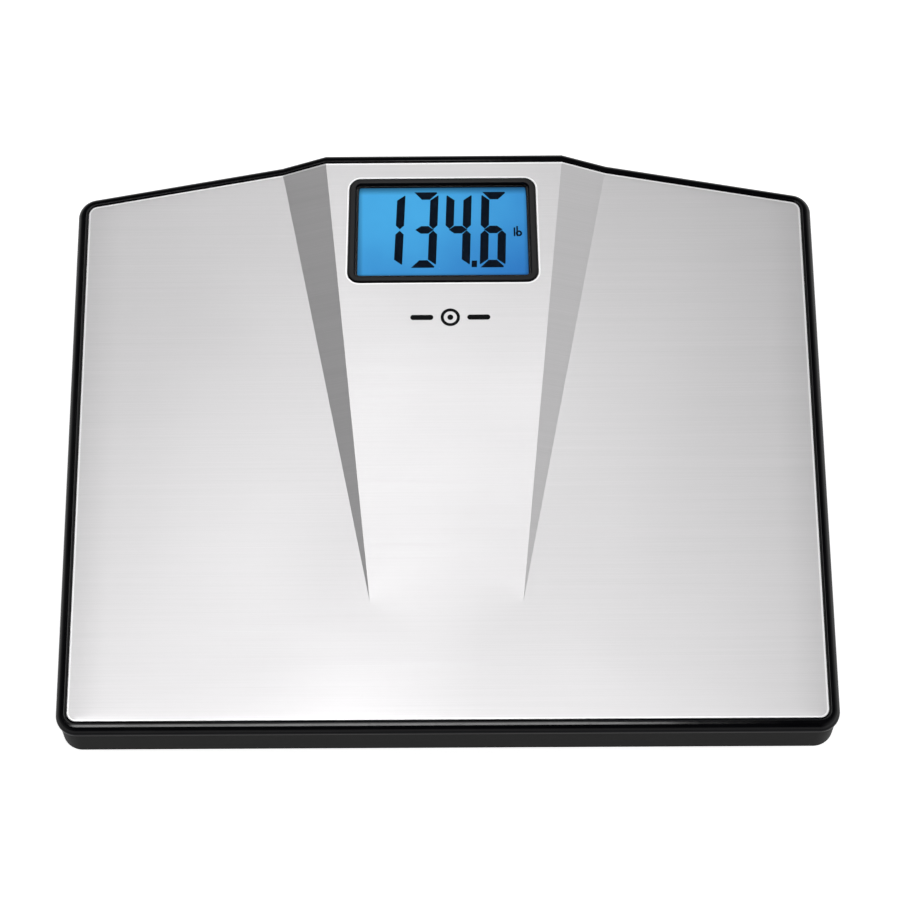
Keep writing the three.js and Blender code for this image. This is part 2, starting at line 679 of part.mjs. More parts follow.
function addDisplay() {
  const panel = new THREE.Group();
  panel.position.set(0, DISPLAY_Y, plateTop(0, DISPLAY_Y));
  panel.rotation.x = PANEL_TILT;
  scale.add(panel);
  addPart("display_bezel", displayBezel(), MATERIALS.glossBlack, panel);
  addPart("display_lens", displayLens(), MATERIALS.clear, panel);
  addPart("lcd_panel", lcdPanel(), MATERIALS.lcd, panel);
  const lightGuide = box([0, 1.4], [96.6, 55], ...STACK.backlight);
  addPart("backlight_panel", lightGuide, MATERIALS.backlight, panel);
  addPart("display_carrier", displayCarrier(), MATERIALS.whitePlastic, panel);
  const zebra = box([0, ZEBRA_Y], [70, 2], STACK.board[1] + 0.05, STACK.lcd[0] - 0.05);
  addPart("zebra_connector", zebra, MATERIALS.greyRubber, panel);
  addPart("main_board", mainBoard(), MATERIALS.circuitBoard, panel);
  const chip = roundedBox([0, 4], [16, 16], 2, STACK.board[0] - 1.9, STACK.board[0] - 0.05);
  addPart("controller_chip", chip, MATERIALS.epoxy, panel);
  PANEL_SCREW_PLACES.forEach(([x, y], i) => {
    const screw = addPart(`board_screw_${i + 1}`, panelScrew(STACK.board[0]), MATERIALS.springSteel, panel);
    screw.position.set(x, y, 0);
  });
}

// ---- Battery bay ----
function batteryDoor() {
  const [width, depth, thickness] = DOOR_SIZE;
  const top = DOOR_BOTTOM + thickness;
  const roundedEdge = crossPin(-width / 2, width / 2, HINGE_Y, HINGE_Z, thickness / 2, 16);
  const panel = box([0, BAY_Y - thickness / 4], [width, depth - thickness / 2], DOOR_BOTTOM, top);
  const flatPart = panel.subtract(box([0, HINGE_Y + 5], [width + 2, 10], 0, 20));
  const pinReach = width / 2 + 1.9;
  const pins = crossPin(-pinReach, pinReach, HINGE_Y, HINGE_Z, HINGE_PIN_RADIUS);
  const latchY = BAY_Y - depth / 2;
  const latchSlots = [-1, 1].map((side) => box([side * 7.5, latchY], [1, 14], 0, 20));
  const thumbGroove = box([0, latchY + 3.2], [11, 1.2], 0, DOOR_BOTTOM + 0.7);
  return cutBy(joined([flatPart, roundedEdge, pins]), [...latchSlots, thumbGroove]);
}

// Turned along its length, with the positive nub at the far end.
function dryCell() {
  const half = BATTERY_LENGTH / 2;
  return turned(
    [
      [0, -half],
      [BATTERY_RADIUS - 0.8, -half],
      [BATTERY_RADIUS, -half + 0.5],
      [BATTERY_RADIUS, half - 1.6],
      [BATTERY_RADIUS - 0.9, half - 1],
      [1.9, half - 1],
      [1.9, half],
      [0, half],
    ],
    12,
  );
}

// A conical spring whose wire ends run flat, standing on the bay's end wall.
function contactSpring() {
  const turns = 3;
  const length = 4.2;
  class Helix extends THREE.Curve {
    getPoint(share, target = new THREE.Vector3()) {
      const angle = 2 * Math.PI * turns * share;
      const radius = 3.6 - 1.6 * share;
      return target.set(radius * Math.cos(angle), radius * Math.sin(angle), 0.5 + length * share);
    }
  }
  const wire = new THREE.Shape();
  wire.absarc(0, 0, 0.35, 0, 2 * Math.PI);
  const settings = { steps: 20, extrudePath: new Helix(), bevelEnabled: false, curveSegments: 2 };
  return toSolid(new THREE.ExtrudeGeometry(wire, settings));
}

function addBatteries() {
  const bayEnd = BAY_INNER[0] / 2;
  for (const index of [0, 1, 2]) {
    const number = index + 1;
    const flip = index % 2 === 0 ? 1 : -1; // neighbouring cells point opposite ways
    const place = new THREE.Group();
    place.position.set(0, BAY_Y + (index - 1) * BATTERY_PITCH, BATTERY_AXIS_Z);
    place.rotation.y = (flip * Math.PI) / 2;
    scale.add(place);
    const cell = addPart(`battery_${number}`, dryCell(), MATERIALS.batteryJacket, place);
    cell.position.z = 2.7; // the spring end needs more room than the plate end
    const springBase = bayEnd - 0.9;
    const spring = addPart(`contact_spring_${number}`, contactSpring(), MATERIALS.springSteel, place);
    spring.position.z = -springBase + 0.1;
    const plate = box([0, 0], [9.4, 8.6], 0, 0.5);
    const contact = addPart(`contact_plate_${number}`, plate, MATERIALS.springSteel, place);
    contact.position.z = bayEnd - 0.8;
  }
}

// ---- Unit switch ----
function switchHousing() {
  const body = box([0, 0], [18, 9], BASE_FLOOR_TOP + 0.05, BASE_FLOOR_TOP + 6);
  return body.subtract(box([0, 0], [SWITCH_TRAVEL + 8.6, 6.6], 0, BASE_FLOOR_TOP + 3));
}

function switchSlider() {
  const knobX = -SWITCH_TRAVEL / 2; // rests at the pound end
  const knob = box([knobX, 0], [4, 3.6], BASE_BOTTOM + 0.2, BASE_FLOOR_TOP + 1);
  const grooves = [-1, 0, 1].map((i) =>
    box([knobX + 1.2 * i, 0], [0.4, 6], 0, BASE_BOTTOM + 0.6),
  );
  const carriage = box([knobX, 0], [8, 6], BASE_FLOOR_TOP + FIT_GAP, BASE_FLOOR_TOP + 2.6);
  return cutBy(knob, grooves).add(carriage);
}

function addUnitSwitch() {
  const place = new THREE.Group();
  place.position.set(SWITCH_X, SWITCH_Y, 0);
  scale.add(place);
  addPart("unit_switch_housing", switchHousing(), MATERIALS.epoxy, place);
  addPart("unit_switch_slider", switchSlider(), MATERIALS.matteBlack, place);
}

// ---- Case screws ----
function caseScrew() {
  const seat = SCREW_HEAD_Z + 2 - 0.05;
  const head = turned(
    [
      [0, SCREW_HEAD_Z - 0.2],
      [SCREW_HEAD_RADIUS - 0.7, SCREW_HEAD_Z - 0.2],
      [SCREW_HEAD_RADIUS, SCREW_HEAD_Z + 0.6],
      [SCREW_HEAD_RADIUS, seat],
      [SCREW_SHANK_RADIUS, seat],
      [SCREW_SHANK_RADIUS, seat + SCREW_LENGTH - 3],
      [0.2, seat + SCREW_LENGTH - 0.5],
      [0, seat + SCREW_LENGTH - 0.5],
    ],
    8,
  );
  const crossRecess = [
    box([0, 0], [3.4, 0.8], 0, SCREW_HEAD_Z + 1),
    box([0, 0], [0.8, 3.4], 0, SCREW_HEAD_Z + 1),
  ];
  return cutBy(head, crossRecess);
}

function addCaseScrews() {
  SCREW_PLACES.forEach(([x, y], i) => {
    const screw = addPart(`case_screw_${i + 1}`, caseScrew(), MATERIALS.springSteel);
    screw.position.set(x, y, 0);
  });
}

addPart("platform_plate", platformPlate(), MATERIALS.brushedSteel);
addPart("platform_frame", platformFrame(), MATERIALS.glossBlack);
addPart("base_cover", baseCover(), MATERIALS.matteBlack);
addDisplay();
addFeet();
addBatteries();
addPart("battery_door", batteryDoor(), MATERIALS.matteBlack);
addUnitSwitch();
addCaseScrews();
addSensorLeads();
addBatteryLeads();
addSwitchLead();

export default scale;
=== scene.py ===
"""Digital bathroom scale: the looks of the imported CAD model, in metres, in the CAD frame."""
import json
import math

import bmesh
import bpy
from mathutils import Matrix, Vector
from mathutils.geometry import delaunay_2d_cdt


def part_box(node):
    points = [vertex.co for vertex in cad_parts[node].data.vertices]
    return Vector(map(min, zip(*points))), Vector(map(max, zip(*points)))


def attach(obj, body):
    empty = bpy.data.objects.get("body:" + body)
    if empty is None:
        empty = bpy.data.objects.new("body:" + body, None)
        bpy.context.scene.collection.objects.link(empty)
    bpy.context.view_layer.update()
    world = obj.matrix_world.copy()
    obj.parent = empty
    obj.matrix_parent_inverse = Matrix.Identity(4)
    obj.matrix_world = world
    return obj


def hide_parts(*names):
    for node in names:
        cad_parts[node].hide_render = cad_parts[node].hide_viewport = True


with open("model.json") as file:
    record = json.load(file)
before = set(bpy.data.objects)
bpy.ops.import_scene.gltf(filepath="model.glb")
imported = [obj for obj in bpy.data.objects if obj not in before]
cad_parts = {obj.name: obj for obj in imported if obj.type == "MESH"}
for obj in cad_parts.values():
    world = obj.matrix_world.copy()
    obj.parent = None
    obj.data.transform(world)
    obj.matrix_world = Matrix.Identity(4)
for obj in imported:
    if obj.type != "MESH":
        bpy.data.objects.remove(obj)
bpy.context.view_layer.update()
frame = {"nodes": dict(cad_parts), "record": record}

# Shapes are made in millimetres, and scaled to metres when they are linked to the scene.
METRE = 1000


def box_of(node):
    return [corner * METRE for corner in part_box(node)]


# ---- Sizes taken from the frame ----
PLATE_LOW, PLATE_HIGH = box_of("platform_plate")
SLIDER_LOW, SLIDER_HIGH = box_of("unit_switch_slider")
HALF_WIDTH = PLATE_HIGH.x
FRONT_Y, REAR_Y = PLATE_LOW.y, PLATE_HIGH.y
RIM_WIDTH = box_of("platform_frame")[1].x - PLATE_HIGH.x
BASE_BOTTOM = box_of("base_cover")[0].z
DOOR_BOTTOM = box_of("battery_door")[0].z

# ---- The platform's shape ----
REAR_CORNER_Y = 139.3
CORNER_RADIUS = 5
CORNER_STEPS = 20
PANEL_RISE = 11
PLATE_TOP = PLATE_HIGH.z - PANEL_RISE
PLATE_THICKNESS = 0.8
FOLD_TIP = Vector((39.8, -95))
OUTER_FOLD_END = Vector((88.5, 159))
INNER_FOLD_END = Vector((64.5, REAR_Y))
CREASE_BLEND = 26  # the middle panel eases over this length where it leaves the flat front
SIDE_FALL_START = 176  # from here to each side the sheet curves down slightly
SIDE_FALL = 0.0009  # by this much times the square of the distance

# ---- The display, which is set in the middle panel and tilted with it ----
DISPLAY_Y = 118.9
RISE_SLOPE = PANEL_RISE / (REAR_Y - FOLD_TIP.y)
PANEL_TILT = math.atan(RISE_SLOPE)
DISPLAY_PLACE = Vector((0, DISPLAY_Y, PLATE_TOP + RISE_SLOPE * (DISPLAY_Y - FOLD_TIP.y)))
DISPLAY_MATRIX = Matrix.Translation(DISPLAY_PLACE) @ Matrix.Rotation(PANEL_TILT, 4, "X")
DISPLAY_SHIFT = -0.8
DISPLAY_WIDENING = 1.005  # at its front edge
DISPLAY_NARROWING = 0.022  # from its front edge to its rear edge
BEZEL_SIZE = (102.4, 62)
BEZEL_CORNER = 6
BEZEL_OPENING = (95.2, 56)
BEZEL_TOP, BEZEL_EDGE, BEZEL_LEDGE, BEZEL_FOOT = 1, 0.6, -0.9, -4
SKIRT_SIZE, SKIRT_TOP = (98.4, 58), -0.8
CUTOUT_GAP = 0.3
WINDOW_SIZE = (92.4, 53.2)
LENS_SIZE = (94.8, 55.6)
LCD_GLASS_SIZE = (97.6, 58.6)
LCD_FACE_SIZE = (91.8, 52.6)
LCD_FACE_TOP = -1.15

# ---- The rim, the lower casing, and what is set in its underside ----
REAR_RIM_SLOPE, REAR_RIM_START, REAR_RIM_BLEND = 0.1, 1.4, 6
BASE_CORNER_EXTRA = 1  # the casing's corners are rounder than the plate's by this much
PARTING_Z = 28
FLOOR_TOP = BASE_BOTTOM + 2.2
FOOT_PLACES = {
    "front_left": (-158, -122),
    "front_right": (158, -122),
    "rear_left": (-158, 98),
    "rear_right": (158, 98),
}
FOOT_WELL_RADIUS = 22.5
SCREW_WELL_RADIUS, SCREW_HOLE_RADIUS = 3.6, 1.9
SCREW_PLACES = [(side * x, y) for x, y in ((70, -149), (186, -70), (186, 45), (76, 146)) for side in (-1, 1)]
BAY_Y = 30
DOOR_SIZE, DOOR_GAP = (62, 41), 0.6
BATTERY_BAY_SIZE = (56.4, 35.4)
HINGE = Vector((0, 49.5, 5.1))
HINGE_RADIUS, PIN_RADIUS, PIN_HOLE_RADIUS = 1.0, 0.8, 1.05
SWITCH_PLACE = (92, 62)
ABOVE_ALL = 60  # higher than the whole scale
BATTERY_COUNT = 3

# ---- Camera and studio, in metres, and the camera's own sizes in millimetres ----
CAMERA_ELEVATION, CAMERA_YAW, CAMERA_ROLL = (math.radians(a) for a in (64.99, 1.572, -1.785))
CAMERA_TARGET = Vector((-0.02147, -0.00837, PLATE_TOP / METRE))
CAMERA_DISTANCE = 1.742
CAMERA_SENSOR, CAMERA_LENS, CAMERA_SHIFT = 36, 131.73, 0.05
LIGHT_HEIGHT = 2
STUDIO_FLOOR_SIZE = 6
STUDIO_FLOOR_Z = -0.0001  # just under the feet, so that their treads show from below


def make_camera():
    turn = Matrix.Rotation(CAMERA_YAW, 3, "Z")
    right = turn @ Vector((1, 0, 0))
    forward = turn @ Vector((0, math.cos(CAMERA_ELEVATION), -math.sin(CAMERA_ELEVATION)))
    up = turn @ Vector((0, math.sin(CAMERA_ELEVATION), math.cos(CAMERA_ELEVATION)))
    rolled_right = math.cos(CAMERA_ROLL) * right + math.sin(CAMERA_ROLL) * up
    rolled_up = -math.sin(CAMERA_ROLL) * right + math.cos(CAMERA_ROLL) * up
    data = bpy.data.cameras.new("camera")
    data.sensor_width = CAMERA_SENSOR
    data.lens = CAMERA_LENS
    data.shift_x = CAMERA_SHIFT
    camera = bpy.data.objects.new("camera", data)
    axes = Matrix((rolled_right, rolled_up, -forward)).transposed()
    camera.matrix_world = Matrix.Translation(CAMERA_TARGET - forward * CAMERA_DISTANCE) @ axes.to_4x4()
    bpy.context.scene.collection.objects.link(camera)
    bpy.context.scene.camera = camera


make_camera()


# ---- Node materials ----
class Nodes:
    """A material's node tree, with short names for the nodes that the looks are made of."""

    def __init__(self, name):
        self.material = bpy.data.materials.new(name)
        self.material.use_nodes = True
        self.tree = self.material.node_tree
        self.shader = self.tree.nodes["Principled BSDF"]

    def link(self, source, target):
        self.tree.links.new(source, target)

    def new(self, kind, **settings):
        node = self.tree.nodes.new(kind)
        for name, value in settings.items():
            setattr(node, name, value)
        return node

    def place(self, stretch=(1, 1, 1)):
        """The object's own coordinates in metres, stretched."""
        source = self.new("ShaderNodeTexCoord").outputs["Object"]
        mapping = self.new("ShaderNodeMapping")
        mapping.inputs["Scale"].default_value = stretch
        self.link(source, mapping.inputs["Vector"])
        return mapping.outputs["Vector"]

    def along(self, axis):
        split = self.new("ShaderNodeSeparateXYZ")
        self.link(self.place(), split.inputs["Vector"])
        return split.outputs[axis]

    def noise(self, scale, detail=4, roughness=0.5, stretch=(1, 1, 1)):
        node = self.new("ShaderNodeTexNoise")
        node.inputs["Scale"].default_value = scale
        node.inputs["Detail"].default_value = detail
        node.inputs["Roughness"].default_value = roughness
        self.link(self.place(stretch), node.inputs["Vector"])
        return node.outputs["Fac"]

    def span(self, value, low, high, start=0.3, end=0.7):
        """value, from start to end, turned into low to high."""
        node = self.new("ShaderNodeMapRange")
        node.inputs["From Min"].default_value = start
        node.inputs["From Max"].default_value = end
        node.inputs["To Min"].default_value = low
        node.inputs["To Max"].default_value = high
        self.link(value, node.inputs["Value"])
        return node.outputs["Result"]

    def math(self, operation, a, b):
        node = self.new("ShaderNodeMath", operation=operation)
        for socket, value in zip(node.inputs, (a, b)):
            if isinstance(value, (int, float)):
                socket.default_value = value
            else:
                self.link(value, socket)
        return node.outputs["Value"]

    def mix(self, share, first, second):
        node = self.new("ShaderNodeMix", data_type="RGBA")
        self.link(share, node.inputs["Factor"])
        colours = [socket for socket in node.inputs if socket.type == "RGBA"]
        for socket, colour in zip(colours, (first, second)):
            if isinstance(colour, tuple):
                socket.default_value = (*colour, 1)
            else:
                self.link(colour, socket)
        return next(socket for socket in node.outputs if socket.type == "RGBA")

    def colour(self, output):
        self.link(output, self.shader.inputs["Base Color"])

    def roughness(self, output):
        self.link(output, self.shader.inputs["Roughness"])

    def bump(self, height, distance, strength=1.0):
        node = self.new("ShaderNodeBump")
        node.inputs["Distance"].default_value = distance
        node.inputs["Strength"].default_value = strength
        self.link(height, node.inputs["Height"])
        self.link(node.outputs["Normal"], self.shader.inputs["Normal"])

    def shine(self, top, sides):
        """The specular level of faces that look up or down, and of upright faces."""
        split = self.new("ShaderNodeSeparateXYZ")
        self.link(self.new("ShaderNodeTexCoord").outputs["Normal"], split.inputs["Vector"])
        upright = self.math("ABSOLUTE", split.outputs["Z"], 0)
        self.fixed(Specular_IOR_Level=top)
        self.link(self.span(upright, sides, top, 0.35, 0.85), self.shader.inputs["Specular IOR Level"])

    def fixed(self, **values):
        """Sets shader sockets that are the same all over, such as Metallic=1."""
        for name, value in values.items():
            self.shader.inputs[name.replace("_", " ")].default_value = value


def brushed_steel(name, dark, light):
    """Stainless sheet with a fine grain along X, and faint longer streaks."""
    nodes = Nodes(name)
    nodes.fixed(Metallic=1.0, Anisotropic=0.7)
    tangent = nodes.new("ShaderNodeCombineXYZ")
    tangent.inputs["X"].default_value = 1
    nodes.link(tangent.outputs["Vector"], nodes.shader.inputs["Tangent"])
    grain = nodes.noise(1, detail=6, roughness=0.7, stretch=(9, 2600, 9))
    streaks = nodes.noise(1, detail=3, roughness=0.6, stretch=(2.6, 240, 2.6))
    clouds = nodes.noise(6, detail=2)
    blend = nodes.math("ADD", nodes.math("MULTIPLY", grain, 0.7), nodes.math("MULTIPLY", streaks, 0.3))
    nodes.colour(nodes.mix(nodes.span(blend, 0, 1, 0.36, 0.64), dark, light))
    worn = nodes.math("ADD", nodes.span(blend, -0.03, 0.03), nodes.span(clouds, -0.02, 0.02))
    nodes.roughness(nodes.math("ADD", worn, 0.36))
    nodes.bump(blend, 0.00002, 0.4)
    return nodes.material


def plastic(name, low, high, roughness, grain_scale, grain_depth, shine=0.5, side_shine=None):
    """Moulded plastic: fine grain in its surface, and slight unevenness in its colour and shine."""
    nodes = Nodes(name)
    if side_shine is None:
        nodes.fixed(Specular_IOR_Level=shine)
    else:
        nodes.shine(shine, side_shine)
    grain = nodes.noise(grain_scale, detail=5, roughness=0.6)
    haze = nodes.noise(38, detail=3)
    nodes.colour(nodes.mix(nodes.span(haze, 0, 1), low, high))
    uneven = nodes.math("ADD", nodes.span(haze, -0.03, 0.03), nodes.span(grain, -0.03, 0.03))
    nodes.roughness(nodes.math("ADD", uneven, roughness))
    nodes.bump(grain, grain_depth, 0.6)
    return nodes.material


def metal(name, low, high, roughness, scale=600):
    nodes = Nodes(name)
    nodes.fixed(Metallic=1.0)
    marks = nodes.noise(scale, detail=5, roughness=0.65)
    nodes.colour(nodes.mix(nodes.span(marks, 0, 1), low, high))
    nodes.roughness(nodes.span(marks, roughness - 0.06, roughness + 0.08))
    nodes.bump(marks, 0.00001, 0.4)
    return nodes.material


def lcd_face():
    """The lit liquid crystal: a bright blue that deepens towards one lower corner, with a painted shadow of
    the bezel that dims its glow near the window's edges.
    """
    nodes = Nodes("lcd_glass")
    nodes.fixed(Roughness=0.3, Specular_IOR_Level=0.02)
    x, y = nodes.along("X"), nodes.along("Y")
    middle, half_width, half_depth = -0.0004, 0.0458, 0.0266
    front_y, rear_y = DISPLAY_Y / METRE - half_depth, DISPLAY_Y / METRE + half_depth
    right = nodes.span(x, 0, 0.55, middle - half_width * 0.3, middle + half_width)
    front = nodes.span(y, 0.5, 0, front_y, front_y + half_depth * 1.3)
    patches = nodes.span(nodes.noise(40, detail=2), -0.08, 0.08)
    depth = nodes.math("ADD", nodes.math("ADD", right, front), patches)
    nodes.colour(nodes.mix(depth, (0.010, 0.045, 0.085), (0.005, 0.022, 0.06)))
    glow = nodes.mix(depth, (0.062, 0.385, 0.745), (0.026, 0.170, 0.500))
    nodes.link(glow, nodes.shader.inputs["Emission Color"])
    # The glow is dimmed near the rear, front and side edges: a painted shadow of the bezel on the lit face.
    rear_shade = nodes.span(y, 1, 0.2, rear_y - 0.0046, rear_y - 0.0002)
    front_shade = nodes.span(y, 0.62, 1, front_y, front_y + 0.0014)
    side = nodes.math("ABSOLUTE", nodes.math("SUBTRACT", x, middle), 0)
    side_shade = nodes.span(side, 1, 0.6, half_width - 0.0022, half_width)
    shade = nodes.math("MULTIPLY", nodes.math("MULTIPLY", rear_shade, front_shade), side_shade)
    nodes.link(shade, nodes.shader.inputs["Emission Strength"])
    nodes.bump(nodes.noise(4000, detail=2), 0.000004, 0.2)
    return nodes.material


def clear_window():
    nodes = Nodes("clear_lens")
    nodes.fixed(Transmission_Weight=1.0, IOR=1.02, Alpha=0.22)
    smear = nodes.noise(30, detail=4)
    nodes.colour(nodes.mix(nodes.span(smear, 0, 1), (0.97, 0.985, 1), (0.93, 0.96, 0.99)))
    nodes.roughness(nodes.span(smear, 0.03, 0.07))
    return nodes.material


LOOKS = {
    "brushed_steel_plate": brushed_steel("brushed_steel_plate", (0.635, 0.63, 0.635), (0.69, 0.68, 0.69)),
    "gloss_black": plastic(
        "gloss_black", (0.003, 0.003, 0.004), (0.005, 0.005, 0.006), 0.1, 1500, 0.000002, 0.3, 0.02,
    ),
    "dark_plastic": plastic(
        "dark_plastic", (0.008, 0.008, 0.008), (0.011, 0.011, 0.011), 0.42, 2600, 0.00002, 0.15, 0.01,
    ),
    "clear_lens": clear_window(),
    "lcd_glass": lcd_face(),
    "backlight": plastic("backlight", (0.16, 0.42, 0.80), (0.24, 0.52, 0.90), 0.45, 1200, 0.00001),
    "white_plastic": plastic("white_plastic", (0.62, 0.62, 0.59), (0.72, 0.72, 0.69), 0.45, 1600, 0.00002),
    "rubber_black": plastic("rubber_black", (0.014, 0.014, 0.014), (0.026, 0.026, 0.026), 0.8, 1900, 0.00006),
    "rubber_grey": plastic("rubber_grey", (0.09, 0.09, 0.10), (0.14, 0.14, 0.15), 0.75, 1900, 0.00004),
    "circuit_board": plastic("circuit_board", (0.008, 0.09, 0.035), (0.014, 0.14, 0.055), 0.35, 700, 0.00002),
    "black_epoxy": plastic("black_epoxy", (0.008, 0.008, 0.008), (0.016, 0.016, 0.016), 0.38, 1400, 0.00002),
    "steel_bright": metal("steel_bright", (0.52, 0.52, 0.53), (0.70, 0.70, 0.71), 0.3),
    "cell_steel": metal("cell_steel", (0.36, 0.37, 0.39), (0.50, 0.51, 0.53), 0.38),
    "battery_jacket": plastic("battery_jacket", (0.025, 0.10, 0.23), (0.035, 0.13, 0.29), 0.3, 900, 0.00001),
    "wire_red": plastic("wire_red", (0.38, 0.012, 0.012), (0.48, 0.02, 0.02), 0.42, 1700, 0.00001),
    "wire_black": plastic("wire_black", (0.012, 0.012, 0.012), (0.022, 0.022, 0.022), 0.45, 1700, 0.00001),
    "wire_grey": plastic("wire_grey", (0.42, 0.42, 0.44), (0.52, 0.52, 0.54), 0.45, 1700, 0.00001),
}
# A lighter copy of the plate's steel for its rolled border: a painted highlight along the plate's edges, on
# top of the light the roll really catches.
EDGE_HIGHLIGHT_LOOK = brushed_steel("edge_painted_highlight", (0.94, 0.94, 0.95), (0.99, 0.99, 0.99))
BEZEL_LOOK = plastic(
    "satin_black", (0.004, 0.004, 0.005), (0.007, 0.007, 0.008), 0.2, 1800, 0.000004, 0.12, 0.05,
)
INK_LOOK = plastic("display_ink", (0.004, 0.010, 0.022), (0.006, 0.014, 0.030), 0.35, 2000, 0.000002, 0.02)
PRINT_LOOK = plastic("printed_ink", (0.006, 0.006, 0.007), (0.010, 0.010, 0.011), 0.5, 2400, 0.000002, 0.05)


def paint_cad_nodes():
    for entry in frame["record"]["subparts"]:
        node = frame["nodes"][entry["node"]]
        node.data.materials.clear()
        node.data.materials.append(LOOKS[entry["material_slot"]])


# ---- Mesh helpers ----
WELD, CAD_WELD, PLATE_WELD = 1e-4, 1e-3, 2e-3  # points closer than this are joined, in millimetres


def evaluated_mesh(thing):
    bpy.context.view_layer.update()
    return bpy.data.meshes.new_from_object(thing.evaluated_get(bpy.context.evaluated_depsgraph_get()))


def add_object(name, mesh):
    thing = bpy.data.objects.new(name, mesh)
    bpy.context.scene.collection.objects.link(thing)
    return thing


def link_mesh(name, mesh, slot=None, stands_for=(), body="case", looks=None, smooth_angle=32):
    """Links a mesh made in millimetres as a piece, in its slot's look unless it is given others.

    It is shaded smooth, except across edges sharper than the angle in degrees.
    """
    mesh.transform(Matrix.Scale(1 / METRE, 4))
    if mesh.materials:
        mesh.materials.clear()
    for look in looks or [LOOKS[slot]]:
        mesh.materials.append(look)
    mesh.shade_smooth()
    mesh.set_sharp_from_angle(angle=math.radians(smooth_angle))
    piece = add_object(name, mesh)
    piece.modifiers.new("weights", "WEIGHTED_NORMAL").keep_sharp = True
    weighted = evaluated_mesh(piece)
    piece.modifiers.clear()
    piece.data = weighted
    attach(piece, body)
    if stands_for:
        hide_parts(*stands_for)


class Solid:
    """Vertices and faces gathered from loops of equal length."""

    def __init__(self):
        self.verts = []
        self.faces = []
        self.looks = []

    def add_loop(self, points):
        start = len(self.verts)
        self.verts.extend(points)
        return list(range(start, start + len(points)))

    def bridge(self, first, second, look=0):
        for i, a in enumerate(first):
            n = (i + 1) % len(first)
            self.faces.append((a, first[n], second[n], second[i]))
            self.looks.append(look)

    def fill(self, loop, look=0):
        self.faces.append(tuple(loop))
        self.looks.append(look)

    def loft(self, loops, closed=False, looks=None):
        """Skins the loops in order, then caps the ends, or joins the last loop to the first if closed."""
        rings = [self.add_loop(loop) for loop in loops]
        pairs = list(zip(rings, rings[1:]))
        if closed:
            pairs.append((rings[-1], rings[0]))
        for i, (first, second) in enumerate(pairs):
            self.bridge(first, second, looks[i] if looks else 0)
        if not closed:
            self.fill(rings[0], looks[0] if looks else 0)
            self.fill(rings[-1], looks[-1] if looks else 0)
        return self

    def mesh(self, weld=WELD):
        data = bpy.data.meshes.new("solid")
        data.from_pydata([tuple(v) for v in self.verts], [], self.faces)
        data.polygons.foreach_set("material_index", self.looks)
        return welded(data, weld)


def welded(mesh, distance=WELD):
    bm = bmesh.new()
    bm.from_mesh(mesh)
    bmesh.ops.remove_doubles(bm, verts=bm.verts, dist=distance)
    bmesh.ops.recalc_face_normals(bm, faces=bm.faces)
    bm.to_mesh(mesh)
    bm.free()
    return mesh


def merged(meshes):
    """Several meshes in one, each as a shell of its own."""
    bm = bmesh.new()
    for mesh in meshes:
        bm.from_mesh(mesh)
    whole = bpy.data.meshes.new("merged")
    bm.to_mesh(whole)
    bm.free()
    return whole


def carved(mesh, tools, operation="DIFFERENCE"):
    """The mesh with the tools cut from it, joined to it, or kept in common with it."""
    holder = add_object("carved", mesh)
    spare = [add_object("tool", tool) for tool in tools]
    for tool in spare:
        cut = holder.modifiers.new("cut", "BOOLEAN")
        cut.object, cut.operation, cut.solver = tool, operation, "MANIFOLD"
    result = evaluated_mesh(holder)
    for thing in (holder, *spare):
        bpy.data.objects.remove(thing)
    return result


def cad_mesh(node):
    """A welded copy of a CAD node's mesh, in millimetres."""
    mesh = frame["nodes"][node].data.copy()
    mesh.transform(Matrix.Scale(METRE, 4))
    return welded(mesh, CAD_WELD)


def arc(centre, radius, start, sweep, steps):
    angles = (start + sweep * i / steps for i in range(steps + 1))
    return [Vector((centre[0] + radius * math.cos(a), centre[1] + radius * math.sin(a))) for a in angles]


def rounded_loop(size, radius, steps=8, centre=(0, 0)):
    """An anticlockwise rectangle with round corners."""
    radius = max(radius, 0.05)
    w, h = size[0] / 2 - radius, size[1] / 2 - radius
    loop = []
    for quarter, (x, y) in enumerate(((w, h), (-w, h), (-w, -h), (w, -h))):
        loop += arc((centre[0] + x, centre[1] + y), radius, quarter * math.pi / 2, math.pi / 2, steps)
    return loop


def circle(radius, centre=(0, 0), sides=72):
    return arc(centre, radius, 0, 2 * math.pi * (1 - 1 / sides), sides - 1)


def at(loop, z):
    return [Vector((p.x, p.y, z)) for p in loop]


def rectangle_section(size, radius, centre=(0, 0)):
    """A section that can grow by any amount: a rectangle with round corners."""
    return lambda grow: rounded_loop((size[0] + 2 * grow, size[1] + 2 * grow), radius + grow, 8, centre)


def circle_section(radius, centre=(0, 0), sides=72):
    return lambda grow: circle(radius + grow, centre, sides)


def skinned(section, levels):
    """A solid whose section grows by the given amounts at the given heights."""
    return Solid().loft([at(section(grow), z) for grow, z in levels]).mesh()


def rounded_wall(low, high, low_edge=0.3, high_edge=0.3, steps=4):
    """The (grow, z) levels of an upright wall with rounded edges."""
    turn = [math.pi / 2 * i / steps for i in range(steps + 1)]
    bottom = [(-low_edge * (1 - math.sin(a)), low + low_edge * (1 - math.cos(a))) for a in turn]
    top = [(-high_edge * (1 - math.cos(a)), high - high_edge * (1 - math.sin(a))) for a in turn]
    return bottom + top


def flared_wall(end, edge=0.3, mouth=BASE_BOTTOM, steps=4):
    """The (grow, z) levels of a cut from below that leaves its mouth with a rounded edge."""
    turn = [math.pi / 2 * (1 - i / steps) for i in range(steps + 1)]
    rounding = [(edge * (1 - math.cos(a)), mouth + edge * (1 - math.sin(a))) for a in turn]
    return [(edge, mouth - 1), *rounding, (0, end)]


def turned(profile, centre=(0, 0), sides=72):
    """A turned solid whose (radius, z) profile starts and ends flat."""
    return Solid().loft([at(circle(radius, centre, sides), z) for radius, z in profile]).mesh()


